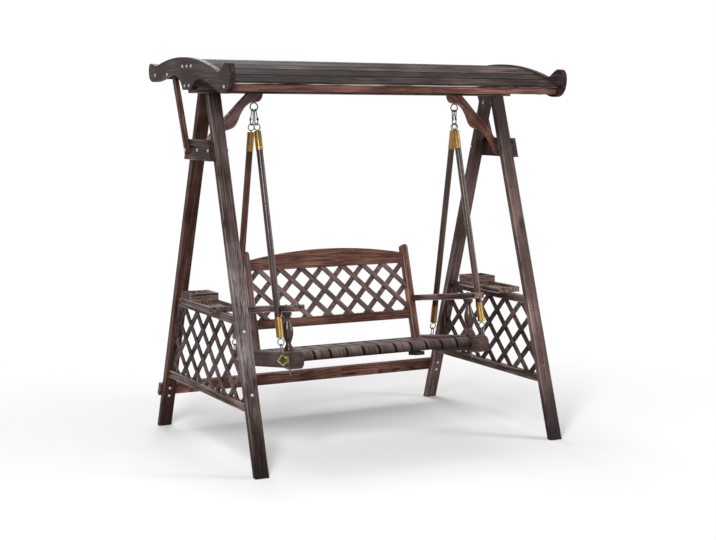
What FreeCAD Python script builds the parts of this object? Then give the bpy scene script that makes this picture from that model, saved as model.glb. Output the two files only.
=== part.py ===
import FreeCAD, Part
import math
import os

# Free-standing wooden garden swing for two, in millimetres.
# Origin on the ground under the middle of the frame, +Z up, +Y to the back.
# Left and right are as seen from the front, so left is -X.

# A-frames
LEG_PLANE_SPACING = 1700.0
LEG_WIDTH = 70.0
LEG_THICKNESS = 35.0
FOOT_SPREAD = 1295.0
LEG_TOP_SPREAD = 134.0
TIMBER_EASE = 3.0
BOARD_EASE = 2.0

# Main beam on the leg tops
BEAM_UNDERSIDE = 1806.0
BEAM_WIDTH = 110.0
BEAM_HEIGHT = 74.0

# Cross plates on the outer faces of the legs
PLATE_BOTTOM = 1471.0
PLATE_HEIGHT = 104.0
PLATE_THICKNESS = 30.0

# Ogee knee brackets between beam and cross plates
BRACKET_THICKNESS = 38.0
BRACKET_NOSE = 41.0
BRACKET_HEEL = 39.0
BRACKET_SHELF_DROP = 42.0
BRACKET_TOE_TOP = 270.0
BRACKET_TOE_BOTTOM = 326.0
BRACKET_LAG = 18.0
# Curves of a bracket: distance in from the cross plate and drop from the beam
BRACKET_BACK = ((181, 60), (123, 119), (70, 171), (32, 219), (8, 252))
BRACKET_BELLY = ((17, 300), (27, 276), (39, 256), (64, 224), (98, 195), (137, 182),
                 (164, 169), (183, 142), (199, 106), (222, 71))

# Curved plank roof
ROOF_RADIUS = 1450.0
ROOF_CREST_Y = 90.0
ROOF_CREST_OVER_BEAM = 98.0
EAVE_FRONT = 488.0
EAVE_REAR = 462.0
PLANK_COUNT = 10
PLANK_THICKNESS = 14.0
PLANK_GAP = 3.0
FASCIA_THICKNESS = 22.0
FASCIA_SETBACK = 12.0
FASCIA_HEIGHT = 40.0
RIB_THICKNESS = 30.0
RIB_TIP_HEIGHT = 46.0
RIB_FRONT_RISE = 12.0
RIB_REAR_RISE = 6.0
END_CLEAT_REACH = 150.0
END_BOARD_THICKNESS = 30.0
END_BOARD_REVEAL = 8.0

VALLEY_FRONT = 385.0
VALLEY_REAR = 418.0
TAB_BOTTOM = 16.0
TAB_HALF_WIDTH = 56.0
# Waves of a roof end board from valley round the tip to the tab: reach and height over the beam underside
FRONT_WAVE = ((440, 119), (466, 134), (500, 140), (524, 121), (531, 81), (521, 39), (497, 9),
              (455, -5), (400, 4), (330, 29), (238, 56), (160, 68), (99, 54))
REAR_WAVE = ((446, 146), (480, 153), (512, 156), (529, 146), (535, 112), (524, 79), (494, 63),
             (440, 61), (395, 66), (300, 82), (190, 92), (110, 72))

# Rear struts of the roof
STRUT_THICKNESS = 25.0
STRUT_WIDTH = 28.0
STRUT_FOOT_Y = 92.0
STRUT_FOOT_OVER_PLATE = 34.0
STRUT_HEAD_Y = 281.0
STRUT_HEAD_OVER_BEAM = 122.0

# Rear stretcher
STRETCHER_MIDDLE = 204.0
STRETCHER_HEIGHT = 68.0
STRETCHER_THICKNESS = 24.0
STRETCHER_OVERHANG = 10.0

# Side panels between the legs
SIDE_RAIL_THICKNESS = 30.0
LOWER_RAIL_BOTTOM = 284.0
LOWER_RAIL_HEIGHT = 38.0
UPPER_RAIL_BOTTOM = 688.0
UPPER_RAIL_HEIGHT = 39.0
STILE_DEPTH = 20.0
STILE_BOLT_LOW = 374.0
STILE_BOLT_HIGH = 664.0
LATTICE_SLAT = 27.0
LATTICE_THICKNESS = 8.0
SIDE_LATTICE_PITCH = 156.0

# Trays with open cup boxes
TRAY_WIDTH = 150.0
TRAY_LENGTH = 390.0
TRAY_THICKNESS = 28.0
TRAY_CORNER = 14.0
TRAY_RIM = 12.0
TRAY_RECESS = 13.0
BOX_LENGTH = 140.0
BOX_HEIGHT = 35.0
BOX_WALL = 20.0

# Bolts
BOLT_RADIUS = 4.0
BOLT_HEAD_RADIUS = 9.0
BOLT_HEAD_HEIGHT = 5.0
NUT_RADIUS = 8.0
NUT_HEIGHT = 7.0
BOLT_CLEARANCE = 0.2
LAG_DEPTH = 45.0

# Hanging hardware
HANG_INSET = 246.0
HOOK_SPLAY = 7.5
EYE_RADIUS = 21.0
EYE_WIRE = 3.5
EYE_COLLAR_RADIUS = 11.0
EYE_COLLAR = 4.0
LINK_GAP = 0.3
TOP_LINK_GAP = 1.15
TOP_HOOK_WIRE = 3.0
TOP_HOOK_LENGTH = 88.0
TOP_HOOK_CROWN = 6.5
TOP_HOOK_BASE = 15.0
LOW_HOOK_WIRE = 3.0
LOW_HOOK_LENGTH = 70.0
LOW_HOOK_CROWN = 7.0
LOW_HOOK_BASE = 9.0
GATE_NOSE = 4.0
GATE_STUB = 6.0
GATE_PIN = 1.5
GATE_PIN_CLEARANCE = 0.08
GATE_SIDE_GAP = 0.35
GATE_CHEEK = 1.8
GATE_WEB = 3.5
GATE_TIP_GAP = 0.5

# Hanging poles
POLE_RADIUS = 17.0
FERRULE_LENGTH = 100.0
FERRULE_WALL = 1.5
FERRULE_CAP = 3.0
FERRULE_FIT = 0.15
POLE_EYE_RADIUS = 17.0
POLE_EYE_WIRE = 2.75
POLE_EYE_STEM = 3.0
POLE_EYE_STEM_RADIUS = 4.0

# Bench, drawn level and then tipped back as it hangs
BENCH_TILT = 8.0
SEAT_HEIGHT = 482.0
BENCH_SHIFT = 12.0
SEAT_STANDOFF = 24.0
SEAT_RAIL_WIDTH = 66.0
SEAT_RAIL_HEIGHT = 80.0
SEAT_RAIL_FRONT = 415.0
SEAT_RAIL_REAR = 262.0
SCROLL_RADIUS = 44.0
SLAT_COUNT = 11
SLAT_GAP = 6.0
SLAT_ROUND = 7.0
SLAT_THICKNESS = 20.0
SLAT_FRONT = 352.0
SLAT_REAR = 166.0
SLAT_NOSE_RADIUS = 40.0
SLAT_NOSE_DROP = 50.0
SLAT_CREST = -4.0
SLAT_DIP = -20.0
SLAT_REAR_TOP = -8.0
BEARER_WIDTH = 38.0
BEARER_FRONT = 262.0
BEARER_REAR = 112.0
BEARER_BOTTOM = -58.0
REAR_RAIL_DEPTH = 30.0
REAR_RAIL_HEIGHT = 68.0
REAR_RAIL_DROP = 4.0
STAY_WIDTH = 44.0
STAY_HEIGHT = 20.0
STAY_LENGTH = 90.0

# Diamond plates on the seat rails, each with a hole for a lower hook
BOW_FRONT = 341.0
BOW_REAR = 219.0
BOW_DROP = 25.0
EYE_PLATE_THICKNESS = 4.0
EYE_PLATE_DIAGONAL = 60.0
EYE_PLATE_CORNER = 6.0
EYE_PLATE_TURN = 45.0
EYE_PLATE_RIM = 4.0
EYE_PLATE_RECESS = 1.0
EYE_HOLE_RADIUS = 8.5
EYE_HOLE_RISE = 12.5
EYE_HOLE_SLACK = 3.3
EYE_FOOT_WIDTH = 24.0
EYE_FOOT_HEIGHT = 36.0
EYE_NECK = 8.0

# Backrest, leaning on the seat rails
BACK_LEAN = 8.6
POST_FOOT = 181.0
POST_WIDTH = 38.0
POST_DEPTH = 38.0
POST_TOP = 527.0
BACK_RAIL_DEPTH = 28.0
BACK_RAIL_INSET = 5.0
TOP_RAIL_BOTTOM = 424.0
TOP_RAIL_END_HEIGHT = 56.0
TOP_RAIL_ARCH = 44.0
BACK_LOW_RAIL_BOTTOM = 105.0
BACK_LOW_RAIL_HEIGHT = 48.0
BACK_LATTICE_PITCH = 128.0
BACK_LATTICE_SHIFT = -41.0

# Arms on turned balusters
ARM_OVERHANG = 22.0
ARM_WIDTH = 76.0
ARM_BOTTOM = 196.0
ARM_THICKNESS = 32.0
ARM_FRONT = 438.0
ARM_BACK = 240.0
BALUSTER_INSET = 40.0
BALUSTER_Y = 300.0
BALUSTER_FOOT = 26.0
BALUSTER_NECK = 14.0
BALUSTER_BELLY = 28.0
BALUSTER_COLLAR = 25.0
ARM_BOLT_TAIL = 32.0

# Largest distance between points that count as one
TOUCH = 0.01

# Worked out from the driving sizes
Vec = FreeCAD.Vector
ALONG_X = Vec(1, 0, 0)
ALONG_Y = Vec(0, 1, 0)
UP = Vec(0, 0, 1)
LEG_X = LEG_PLANE_SPACING / 2
LEG_OUTER = LEG_X + LEG_WIDTH / 2
LEG_INNER = LEG_X - LEG_WIDTH / 2
LEG_SLOPE = (FOOT_SPREAD - LEG_TOP_SPREAD) / 2 / BEAM_UNDERSIDE
LEG_LEAN = math.atan(LEG_SLOPE)
LEG_DEPTH = LEG_THICKNESS / math.cos(LEG_LEAN)
LEG_NORMAL = Vec(0, math.cos(LEG_LEAN), math.sin(LEG_LEAN))
PLATE_OUTER = LEG_OUTER + PLATE_THICKNESS
PLATE_MIDDLE = PLATE_BOTTOM + PLATE_HEIGHT / 2
BOARD_INNER = PLATE_OUTER + STRUT_THICKNESS
BOARD_OUTER = BOARD_INNER + END_BOARD_THICKNESS
BEAM_TOP = BEAM_UNDERSIDE + BEAM_HEIGHT
ROOF_CENTRE_Z = BEAM_TOP + ROOF_CREST_OVER_BEAM - ROOF_RADIUS
PLANK_UNDER_RADIUS = ROOF_RADIUS - PLANK_THICKNESS
EAVE_FRONT_ANGLE = -math.asin((EAVE_FRONT + ROOF_CREST_Y) / ROOF_RADIUS)
EAVE_REAR_ANGLE = math.asin((EAVE_REAR - ROOF_CREST_Y) / ROOF_RADIUS)
PLANK_STEP = (EAVE_REAR_ANGLE - EAVE_FRONT_ANGLE) / PLANK_COUNT
TRAY_BOTTOM = UPPER_RAIL_BOTTOM + UPPER_RAIL_HEIGHT
TRAY_TOP = TRAY_BOTTOM + TRAY_THICKNESS
SHELF_Z = BEAM_UNDERSIDE - BRACKET_SHELF_DROP
EYE_Z = SHELF_Z - EYE_COLLAR - EYE_RADIUS
PIVOT_Z = EYE_Z - math.sqrt(EYE_RADIUS ** 2 - HOOK_SPLAY ** 2)
HANG_X = LEG_X - HANG_INSET
SEAT_RAIL_OUTER = HANG_X - SEAT_STANDOFF
SEAT_RAIL_INNER = SEAT_RAIL_OUTER - SEAT_RAIL_WIDTH
STAY_X = 0.4 * SEAT_RAIL_INNER
ARM_INNER = SEAT_RAIL_INNER - ARM_OVERHANG
BALUSTER_X = SEAT_RAIL_OUTER - BALUSTER_INSET
POST_INNER = SEAT_RAIL_INNER - POST_WIDTH


def outer_edge(z):
    """Distance from the middle to a leg's outer edge at height z."""
    return FOOT_SPREAD / 2 - LEG_SLOPE * z


def inner_edge(z):
    """Distance from the middle to a leg's inner edge at height z."""
    return outer_edge(z) - LEG_DEPTH


def roof_top(y, reveal=0.0):
    """Height of the roof arc at y, raised by a reveal."""
    return ROOF_CENTRE_Z + math.sqrt((ROOF_RADIUS + reveal) ** 2 - (y - ROOF_CREST_Y) ** 2)


def side_plane(y, z):
    return Vec(0, y, z)


def front_plane(x, z):
    return Vec(x, 0, z)


def floor_plane(x, y):
    return Vec(x, y, 0)


def outline(plane, start, steps):
    """Closed face in a plane, drawn from a start point by line, arc and curve steps."""
    edges = []
    here = plane(*start)
    for kind, *points in steps:
        places = [plane(*point) for point in points]
        if kind == "line":
            edges.append(Part.makeLine(here, places[0]))
        elif kind == "arc":
            edges.append(Part.Arc(here, places[0], places[1]).toShape())
        else:
            curve = Part.BSplineCurve()
            curve.interpolate([here] + places)
            edges.append(curve.toShape())
        here = places[-1]
    return Part.Face(Part.Wire(edges))


def polygon(plane, points):
    """Flat face with straight sides."""
    return outline(plane, points[-1], [("line", point) for point in points])


def slab(face, direction, low, high):
    """Solid from a face pushed from low to high along a direction."""
    return face.translated(direction * low).extrude(direction * (high - low))


def block(x_span, y_span, z_span):
    """Box between pairs of coordinates."""
    low = Vec(min(x_span), min(y_span), min(z_span))
    high = Vec(max(x_span), max(y_span), max(z_span))
    size = high - low
    return Part.makeBox(size.x, size.y, size.z, low)


def ease(shape, size, longer_than):
    """Chamfer the long edges of a timber."""
    return shape.makeChamfer(size, [edge for edge in shape.Edges if edge.Length > longer_than])


def mirrored(shape):
    """The same piece on the other side of the swing."""
    return shape.mirror(Vec(0, 0, 0), ALONG_X)


def flipped(shape):
    """The same piece facing the other way, front to back."""
    return shape.mirror(Vec(0, 0, 0), ALONG_Y)


def turned(shape, degrees):
    """Copy turned about the X axis through the origin."""
    copy = shape.copy()
    copy.rotate(Vec(0, 0, 0), ALONG_X, degrees)
    return copy


def pointed(shape, place, direction):
    """Copy of a piece drawn up the Z axis, set at a place and aimed along a direction."""
    copy = shape.copy()
    copy.Placement = FreeCAD.Placement(place, FreeCAD.Rotation(UP, direction))
    return copy


def on_bench(shape):
    """Tip a level bench piece back and set it at its hanging height."""
    return turned(shape, -BENCH_TILT).translated(Vec(0, BENCH_SHIFT, SEAT_HEIGHT))


def on_back(shape):
    """Lean a backrest piece and set it on the bench."""
    return on_bench(turned(shape, -BACK_LEAN).translated(Vec(0, POST_FOOT, 0)))


def bench_point(y, z):
    """Place of a level bench point, in the plane of one side."""
    return on_bench(Part.Vertex(Vec(0, y, z))).Point


def dome_middle(radius, height):
    """Point half-way out on a dome that is part of a ball."""
    ball = (radius ** 2 + height ** 2) / (2 * height)
    return radius / 2, height - ball + math.sqrt(ball ** 2 - radius ** 2 / 4)


# Fasteners: each is its place under the head, its direction, its grip, whether it takes a nut and its tail
def fastener(place, direction, grip, nut, tail=0):
    return {"place": place, "direction": direction, "grip": grip, "nut": nut, "tail": tail}


def bolt(item):
    """Dome-headed bolt with its nut where it has one."""
    nut_end = item["grip"] + NUT_HEIGHT
    end = nut_end + item["tail"] if item["nut"] else item["grip"]
    across, rise = dome_middle(BOLT_HEAD_RADIUS, BOLT_HEAD_HEIGHT)
    half = outline(front_plane, (0, -BOLT_HEAD_HEIGHT), [
        ("arc", (across, -rise), (BOLT_HEAD_RADIUS, 0)),
        ("line", (BOLT_RADIUS, 0)),
        ("line", (BOLT_RADIUS, end)),
        ("line", (0, end)),
        ("line", (0, -BOLT_HEAD_HEIGHT)),
    ])
    pieces = [half.revolve(Vec(0, 0, 0), UP, 360)]
    if item["nut"]:
        corners = [math.radians(60 * step) for step in range(6)]
        points = [(NUT_RADIUS * math.cos(corner), NUT_RADIUS * math.sin(corner)) for corner in corners]
        bore = Part.makeCylinder(BOLT_RADIUS + BOLT_CLEARANCE, NUT_HEIGHT, Vec(0, 0, item["grip"]))
        pieces.append(slab(polygon(floor_plane, points), UP, item["grip"], nut_end).cut(bore))
    return [pointed(piece, item["place"], item["direction"]) for piece in pieces]


def bolt_hole(item):
    """Clearance hole along a fastener's grip."""
    hole = Part.makeCylinder(BOLT_RADIUS + BOLT_CLEARANCE, item["grip"])
    return pointed(hole, item["place"], item["direction"])


def drilled(shape, holes):
    """Piece with every hole that reaches it."""
    for hole in holes:
        if shape.BoundBox.intersect(hole.BoundBox):
            shape = shape.cut(hole)
    return shape


# Frame
def leg():
    """Rear leg at the left A-frame, cut level at the ground and under the beam."""
    side = polygon(side_plane, [
        (outer_edge(0), 0),
        (outer_edge(BEAM_UNDERSIDE), BEAM_UNDERSIDE),
        (inner_edge(BEAM_UNDERSIDE), BEAM_UNDERSIDE),
        (inner_edge(0), 0),
    ])
    return ease(slab(side, ALONG_X, -LEG_OUTER, -LEG_INNER), TIMBER_EASE, BEAM_UNDERSIDE / 2)


def cross_plate():
    """Left cross plate, its ends following the legs."""
    top = PLATE_BOTTOM + PLATE_HEIGHT
    low = outer_edge(PLATE_BOTTOM)
    high = outer_edge(top)
    side = polygon(side_plane, [(low, PLATE_BOTTOM), (high, top), (-high, top), (-low, PLATE_BOTTOM)])
    return slab(side, ALONG_X, -PLATE_OUTER, -LEG_OUTER)


def main_beam():
    beam = block((-BOARD_INNER, BOARD_INNER), (-BEAM_WIDTH / 2, BEAM_WIDTH / 2), (BEAM_UNDERSIDE, BEAM_TOP))
    return ease(beam, TIMBER_EASE, BOARD_INNER)


def knee_bracket():
    """Ogee bracket at the right, with a flat shelf for the eye bolt."""
    def at(inward, drop):
        return (LEG_OUTER - inward, BEAM_UNDERSIDE - drop)

    eye = LEG_OUTER - HANG_X
    shelf = 1.2 * EYE_COLLAR_RADIUS
    tip = eye + BRACKET_NOSE
    face = outline(front_plane, at(tip, 0), [
        ("line", at(eye - BRACKET_HEEL, 0)),
        ("curve", *[at(*point) for point in BRACKET_BACK], at(0, BRACKET_TOE_TOP)),
        ("line", at(0, BRACKET_TOE_BOTTOM)),
        ("curve", *[at(*point) for point in BRACKET_BELLY], at(eye - shelf, BRACKET_SHELF_DROP)),
        ("line", at(eye + shelf, BRACKET_SHELF_DROP)),
        ("arc", at(0.85 * tip + 0.15 * eye, 0.55 * BRACKET_SHELF_DROP), at(tip, 0)),
    ])
    return slab(face, ALONG_Y, -BRACKET_THICKNESS / 2, BRACKET_THICKNESS / 2)


def end_board():
    """Left roof end board: arched top with raised tips, and two arches beside a middle tab."""
    front_valley = (-VALLEY_FRONT, roof_top(-VALLEY_FRONT, END_BOARD_REVEAL))
    rear_valley = (VALLEY_REAR, roof_top(VALLEY_REAR, END_BOARD_REVEAL))
    crest = (ROOF_CREST_Y, roof_top(ROOF_CREST_Y, END_BOARD_REVEAL))
    tab = BEAM_UNDERSIDE + TAB_BOTTOM
    rear = [(reach, BEAM_UNDERSIDE + height) for reach, height in REAR_WAVE]
    front = [(-reach, BEAM_UNDERSIDE + height) for reach, height in reversed(FRONT_WAVE)]
    face = outline(side_plane, front_valley, [
        ("arc", crest, rear_valley),
        ("curve", *rear, (TAB_HALF_WIDTH, tab)),
        ("line", (-TAB_HALF_WIDTH, tab)),
        ("curve", *front, front_valley),
    ])
    return slab(face, ALONG_X, -BOARD_OUTER, -BOARD_INNER)


def roof_point(angle, radius):
    return (ROOF_CREST_Y + radius * math.sin(angle), ROOF_CENTRE_Z + radius * math.cos(angle))


def under_roof():
    """Space below the planks, with one flat for each plank."""
    corner_radius = PLANK_UNDER_RADIUS / math.cos(PLANK_STEP / 2)
    top = [roof_point(EAVE_FRONT_ANGLE + step * PLANK_STEP, corner_radius) for step in range(PLANK_COUNT + 1)]
    floor = [(top[-1][0], BEAM_UNDERSIDE - FASCIA_HEIGHT), (top[0][0], BEAM_UNDERSIDE - FASCIA_HEIGHT)]
    return slab(polygon(side_plane, top + floor), ALONG_X, -BOARD_INNER, BOARD_INNER)


def roof_planks():
    """Planks laid edge to edge over the arc, between the end boards."""
    width = 2 * PLANK_UNDER_RADIUS * math.tan(PLANK_STEP / 2) - PLANK_GAP
    level = block((-BOARD_INNER, BOARD_INNER), (-width / 2, width / 2), (PLANK_UNDER_RADIUS, ROOF_RADIUS))
    level = ease(level, BOARD_EASE, BOARD_INNER)
    planks = []
    for step in range(PLANK_COUNT):
        angle = EAVE_FRONT_ANGLE + (step + 0.5) * PLANK_STEP
        plank = turned(level, -math.degrees(angle))
        planks.append(plank.translated(Vec(0, ROOF_CREST_Y, ROOF_CENTRE_Z)))
    return planks


FASCIA_FRONT_BACK = -(EAVE_FRONT - FASCIA_SETBACK - FASCIA_THICKNESS)
FASCIA_REAR_BACK = EAVE_REAR - FASCIA_SETBACK - FASCIA_THICKNESS


def fascia(inside, outside):
    """Board under an eave, its top cut to the planks."""
    eave = roof_top((inside + outside) / 2) - PLANK_THICKNESS
    tall = (eave - FASCIA_HEIGHT, eave + FASCIA_HEIGHT)
    return block((-BOARD_INNER, BOARD_INNER), (inside, outside), tall).common(under_roof())


def roof_ribs():
    """Arched ribs on the beam, and short cleats against the end boards."""
    half = BEAM_WIDTH / 2
    front_low = roof_top(FASCIA_FRONT_BACK) - PLANK_THICKNESS - RIB_TIP_HEIGHT
    rear_low = roof_top(FASCIA_REAR_BACK) - PLANK_THICKNESS - RIB_TIP_HEIGHT
    crown = BEAM_TOP + ROOF_CREST_OVER_BEAM
    arch = outline(side_plane, (-half, BEAM_TOP), [
        ("line", (half, BEAM_TOP)),
        ("arc", (0.6 * FASCIA_REAR_BACK, 0.4 * BEAM_TOP + 0.6 * rear_low + RIB_REAR_RISE),
         (FASCIA_REAR_BACK, rear_low)),
        ("line", (FASCIA_REAR_BACK, crown)),
        ("line", (FASCIA_FRONT_BACK, crown)),
        ("line", (FASCIA_FRONT_BACK, front_low)),
        ("arc", (0.55 * FASCIA_FRONT_BACK, 0.45 * BEAM_TOP + 0.55 * front_low + RIB_FRONT_RISE),
         (-half, BEAM_TOP)),
    ])
    space = under_roof()
    places = [-LEG_X, -LEG_X / 2, 0, LEG_X / 2, LEG_X]
    ribs = [slab(arch, ALONG_X, x - RIB_THICKNESS / 2, x + RIB_THICKNESS / 2).common(space) for x in places]
    cleat = block((-BOARD_INNER, RIB_THICKNESS - BOARD_INNER), (-END_CLEAT_REACH, END_CLEAT_REACH),
                  (BEAM_TOP, crown)).common(space)
    return ribs + [cleat, mirrored(cleat)]


def strut_ends():
    foot = Vec(0, STRUT_FOOT_Y, PLATE_BOTTOM + STRUT_FOOT_OVER_PLATE)
    head = Vec(0, STRUT_HEAD_Y, BEAM_UNDERSIDE + STRUT_HEAD_OVER_BEAM)
    return foot, head


def roof_strut():
    """Left batten from the cross plate up to the end board."""
    foot, head = strut_ends()
    across = (head - foot).cross(ALONG_X).normalize() * (STRUT_WIDTH / 2)
    corners = [foot + across, head + across, head - across, foot - across]
    side = polygon(side_plane, [(corner.y, corner.z) for corner in corners])
    batten = slab(side, ALONG_X, -BOARD_INNER, -PLATE_OUTER)
    return ease(batten, BOARD_EASE, (head - foot).Length * 0.9)


def rear_stretcher():
    """Board flat on the back faces of the rear legs."""
    reach = LEG_OUTER + STRETCHER_OVERHANG
    board = block((-reach, reach), (0, STRETCHER_THICKNESS), (-STRETCHER_HEIGHT / 2, STRETCHER_HEIGHT / 2))
    board = turned(ease(board, BOARD_EASE, LEG_X), math.degrees(LEG_LEAN))
    return board.translated(Vec(0, outer_edge(STRETCHER_MIDDLE), STRETCHER_MIDDLE))


def side_rail(bottom, height):
    """Left rail between the inner edges of the legs."""
    top = bottom + height
    low = inner_edge(bottom)
    high = inner_edge(top)
    side = polygon(side_plane, [(low, bottom), (high, top), (-high, top), (-low, bottom)])
    return slab(side, ALONG_X, -LEG_X - SIDE_RAIL_THICKNESS / 2, -LEG_X + SIDE_RAIL_THICKNESS / 2)


PANEL_BOTTOM = LOWER_RAIL_BOTTOM + LOWER_RAIL_HEIGHT


def side_stile():
    """Rear stile of the left panel, along the leg."""
    low = inner_edge(PANEL_BOTTOM)
    high = inner_edge(UPPER_RAIL_BOTTOM)
    side = polygon(side_plane, [
        (low, PANEL_BOTTOM),
        (high, UPPER_RAIL_BOTTOM),
        (high - STILE_DEPTH, UPPER_RAIL_BOTTOM),
        (low - STILE_DEPTH, PANEL_BOTTOM),
    ])
    return slab(side, ALONG_X, -LEG_X - SIDE_RAIL_THICKNESS / 2, -LEG_X + SIDE_RAIL_THICKNESS / 2)


def lattice_layer(panel, turn, top, reach, pitch, shift):
    """Parallel slats at 45 degrees across a panel prism, from crossings along its top edge.

    The panel lies in the XZ plane, and its thickness along Y is the layer's.
    """
    count = math.ceil(2 * reach / pitch) + 1
    slats = []
    for step in range(-count, count + 1):
        slat = block((-LATTICE_SLAT / 2, LATTICE_SLAT / 2), (-reach, reach), (-2 * reach, 2 * reach))
        slat.rotate(Vec(0, 0, 0), ALONG_Y, turn)
        slat.translate(Vec(shift + step * pitch, 0, top))
        slats += slat.common(panel).Solids
    return slats


def side_lattice():
    """Left panel: two crossing layers, drawn in the XZ plane and turned into the side."""
    top = UPPER_RAIL_BOTTOM
    low = inner_edge(PANEL_BOTTOM) - STILE_DEPTH
    high = inner_edge(top) - STILE_DEPTH
    panel = polygon(front_plane, [(low, PANEL_BOTTOM), (high, top), (-high, top), (-low, PANEL_BOTTOM)])
    slats = []
    for low_face, turn in ((0, 45), (-LATTICE_THICKNESS, -45)):
        layer = slab(panel, ALONG_Y, low_face, low_face + LATTICE_THICKNESS)
        slats += lattice_layer(layer, turn, top, low, SIDE_LATTICE_PITCH, 0)
    for slat in slats:
        slat.rotate(Vec(0, 0, 0), UP, 90)
        slat.translate(Vec(-LEG_X, 0, 0))
    return slats


def tray():
    """Left tray on the upper rail, with rounded front corners, hollowed in front of the cup box."""
    front = -TRAY_LENGTH / 2
    left = -LEG_X - TRAY_WIDTH / 2
    right = -LEG_X + TRAY_WIDTH / 2
    board = block((left, right), (front, TRAY_LENGTH / 2), (TRAY_BOTTOM, TRAY_TOP))
    hollow = block((left + TRAY_RIM, right - TRAY_RIM), (front + TRAY_RIM, TRAY_LENGTH / 2 - BOX_LENGTH),
                   (TRAY_TOP - TRAY_RECESS, TRAY_TOP))
    upright = [edge for edge in board.Edges if abs(edge.tangentAt(edge.FirstParameter).z) > 0.5]
    corners = [edge for edge in upright if edge.CenterOfMass.y < 0]
    return board.makeFillet(TRAY_CORNER, corners).cut(hollow)


def cup_box():
    """Four boards standing on the back of the left tray, open at the top."""
    near = TRAY_LENGTH / 2 - BOX_LENGTH
    far = TRAY_LENGTH / 2
    left = -LEG_X - TRAY_WIDTH / 2
    right = -LEG_X + TRAY_WIDTH / 2
    tall = (TRAY_TOP, TRAY_TOP + BOX_HEIGHT)
    return [
        block((left, left + BOX_WALL), (near, far), tall),
        block((right - BOX_WALL, right), (near, far), tall),
        block((left + BOX_WALL, right - BOX_WALL), (near, near + BOX_WALL), tall),
        block((left + BOX_WALL, right - BOX_WALL), (far - BOX_WALL, far), tall),
    ]


def eye_bolt():
    """Ring, collar and shank through bracket and beam, with a nut on the beam."""
    reach = BEAM_TOP - SHELF_Z
    ring = Part.makeTorus(EYE_RADIUS, EYE_WIRE, Vec(0, 0, 0), ALONG_Y).translated(Vec(HANG_X, 0, EYE_Z))
    stem = Part.makeCylinder(EYE_WIRE, EYE_COLLAR, Vec(HANG_X, 0, SHELF_Z - EYE_COLLAR))
    collar = Part.makeCylinder(EYE_COLLAR_RADIUS, EYE_COLLAR / 2, Vec(HANG_X, 0, SHELF_Z - EYE_COLLAR / 2))
    shank = Part.makeCylinder(BOLT_RADIUS, reach + NUT_HEIGHT, Vec(HANG_X, 0, SHELF_Z))
    nut = bolt(fastener(Vec(HANG_X, 0, SHELF_Z), UP, reach, True))[1]
    return [ring.fuse([stem, collar, shank]), nut]


def frame_fasteners():
    """Bolts and lags of the frame, on both sides."""
    foot, head = strut_ends()
    leg_middle = outer_edge(PLATE_MIDDLE) - LEG_DEPTH / 2
    inward = ALONG_X
    items = []
    for y in (leg_middle, -leg_middle):
        items.append(fastener(Vec(-PLATE_OUTER, y, PLATE_MIDDLE), inward, PLATE_THICKNESS + LEG_WIDTH, True))
    items.append(fastener(Vec(-PLATE_OUTER, 0, PLATE_MIDDLE), inward, PLATE_THICKNESS + BRACKET_LAG, False))
    along = (head - foot).normalize() * STRUT_WIDTH
    low = foot + along * 0.6
    high = head - along
    items.append(fastener(Vec(-BOARD_INNER, low.y, low.z), inward, STRUT_THICKNESS + PLATE_THICKNESS, True))
    grip = END_BOARD_THICKNESS + STRUT_THICKNESS
    items.append(fastener(Vec(-BOARD_OUTER, high.y, high.z), inward, grip, True))
    for y in (-TAB_HALF_WIDTH / 2, TAB_HALF_WIDTH / 2):
        items.append(fastener(Vec(-BOARD_OUTER, y, BEAM_UNDERSIDE + BEAM_HEIGHT / 2), inward,
                              END_BOARD_THICKNESS + LAG_DEPTH, False))
    for y in (-TAB_HALF_WIDTH, 0, TAB_HALF_WIDTH):
        items.append(fastener(Vec(-BOARD_OUTER, y, BEAM_TOP + 0.6 * ROOF_CREST_OVER_BEAM), inward,
                              END_BOARD_THICKNESS + RIB_THICKNESS / 2, False))
    for y in (FASCIA_FRONT_BACK - FASCIA_THICKNESS / 2, FASCIA_REAR_BACK + FASCIA_THICKNESS / 2):
        middle = roof_top(y) - PLANK_THICKNESS - FASCIA_HEIGHT / 2
        items.append(fastener(Vec(-BOARD_OUTER, y, middle), inward, END_BOARD_THICKNESS + LAG_DEPTH, False))
    up_leg = Vec(0, -math.sin(LEG_LEAN), math.cos(LEG_LEAN))
    stretcher = Vec(-LEG_X, outer_edge(STRETCHER_MIDDLE), STRETCHER_MIDDLE) - LEG_NORMAL * LEG_THICKNESS
    for shift in (-STRETCHER_HEIGHT / 3, STRETCHER_HEIGHT / 3):
        grip = LEG_THICKNESS + STRETCHER_THICKNESS
        items.append(fastener(stretcher + up_leg * shift, LEG_NORMAL, grip, True))
    for height in (STILE_BOLT_LOW, STILE_BOLT_HIGH):
        grip = LEG_THICKNESS + 0.8 * STILE_DEPTH
        edge = outer_edge(height)
        items.append(fastener(Vec(-LEG_X, edge, height), LEG_NORMAL * -1, grip, False))
        items.append(fastener(Vec(-LEG_X, -edge, height), Vec(0, LEG_NORMAL.y, -LEG_NORMAL.z), grip, False))
    over_leg = (BEAM_WIDTH / 2 + inner_edge(BEAM_UNDERSIDE)) / 2
    for y in (-over_leg, over_leg):
        grip = BEAM_HEIGHT + LAG_DEPTH
        items.append(fastener(Vec(-LEG_X + RIB_THICKNESS, y, BEAM_TOP), UP * -1, grip, False))
    for item in list(items):
        place = Vec(-item["place"].x, item["place"].y, item["place"].z)
        aim = Vec(-item["direction"].x, item["direction"].y, item["direction"].z)
        items.append({**item, "place": place, "direction": aim})
    return items


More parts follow.
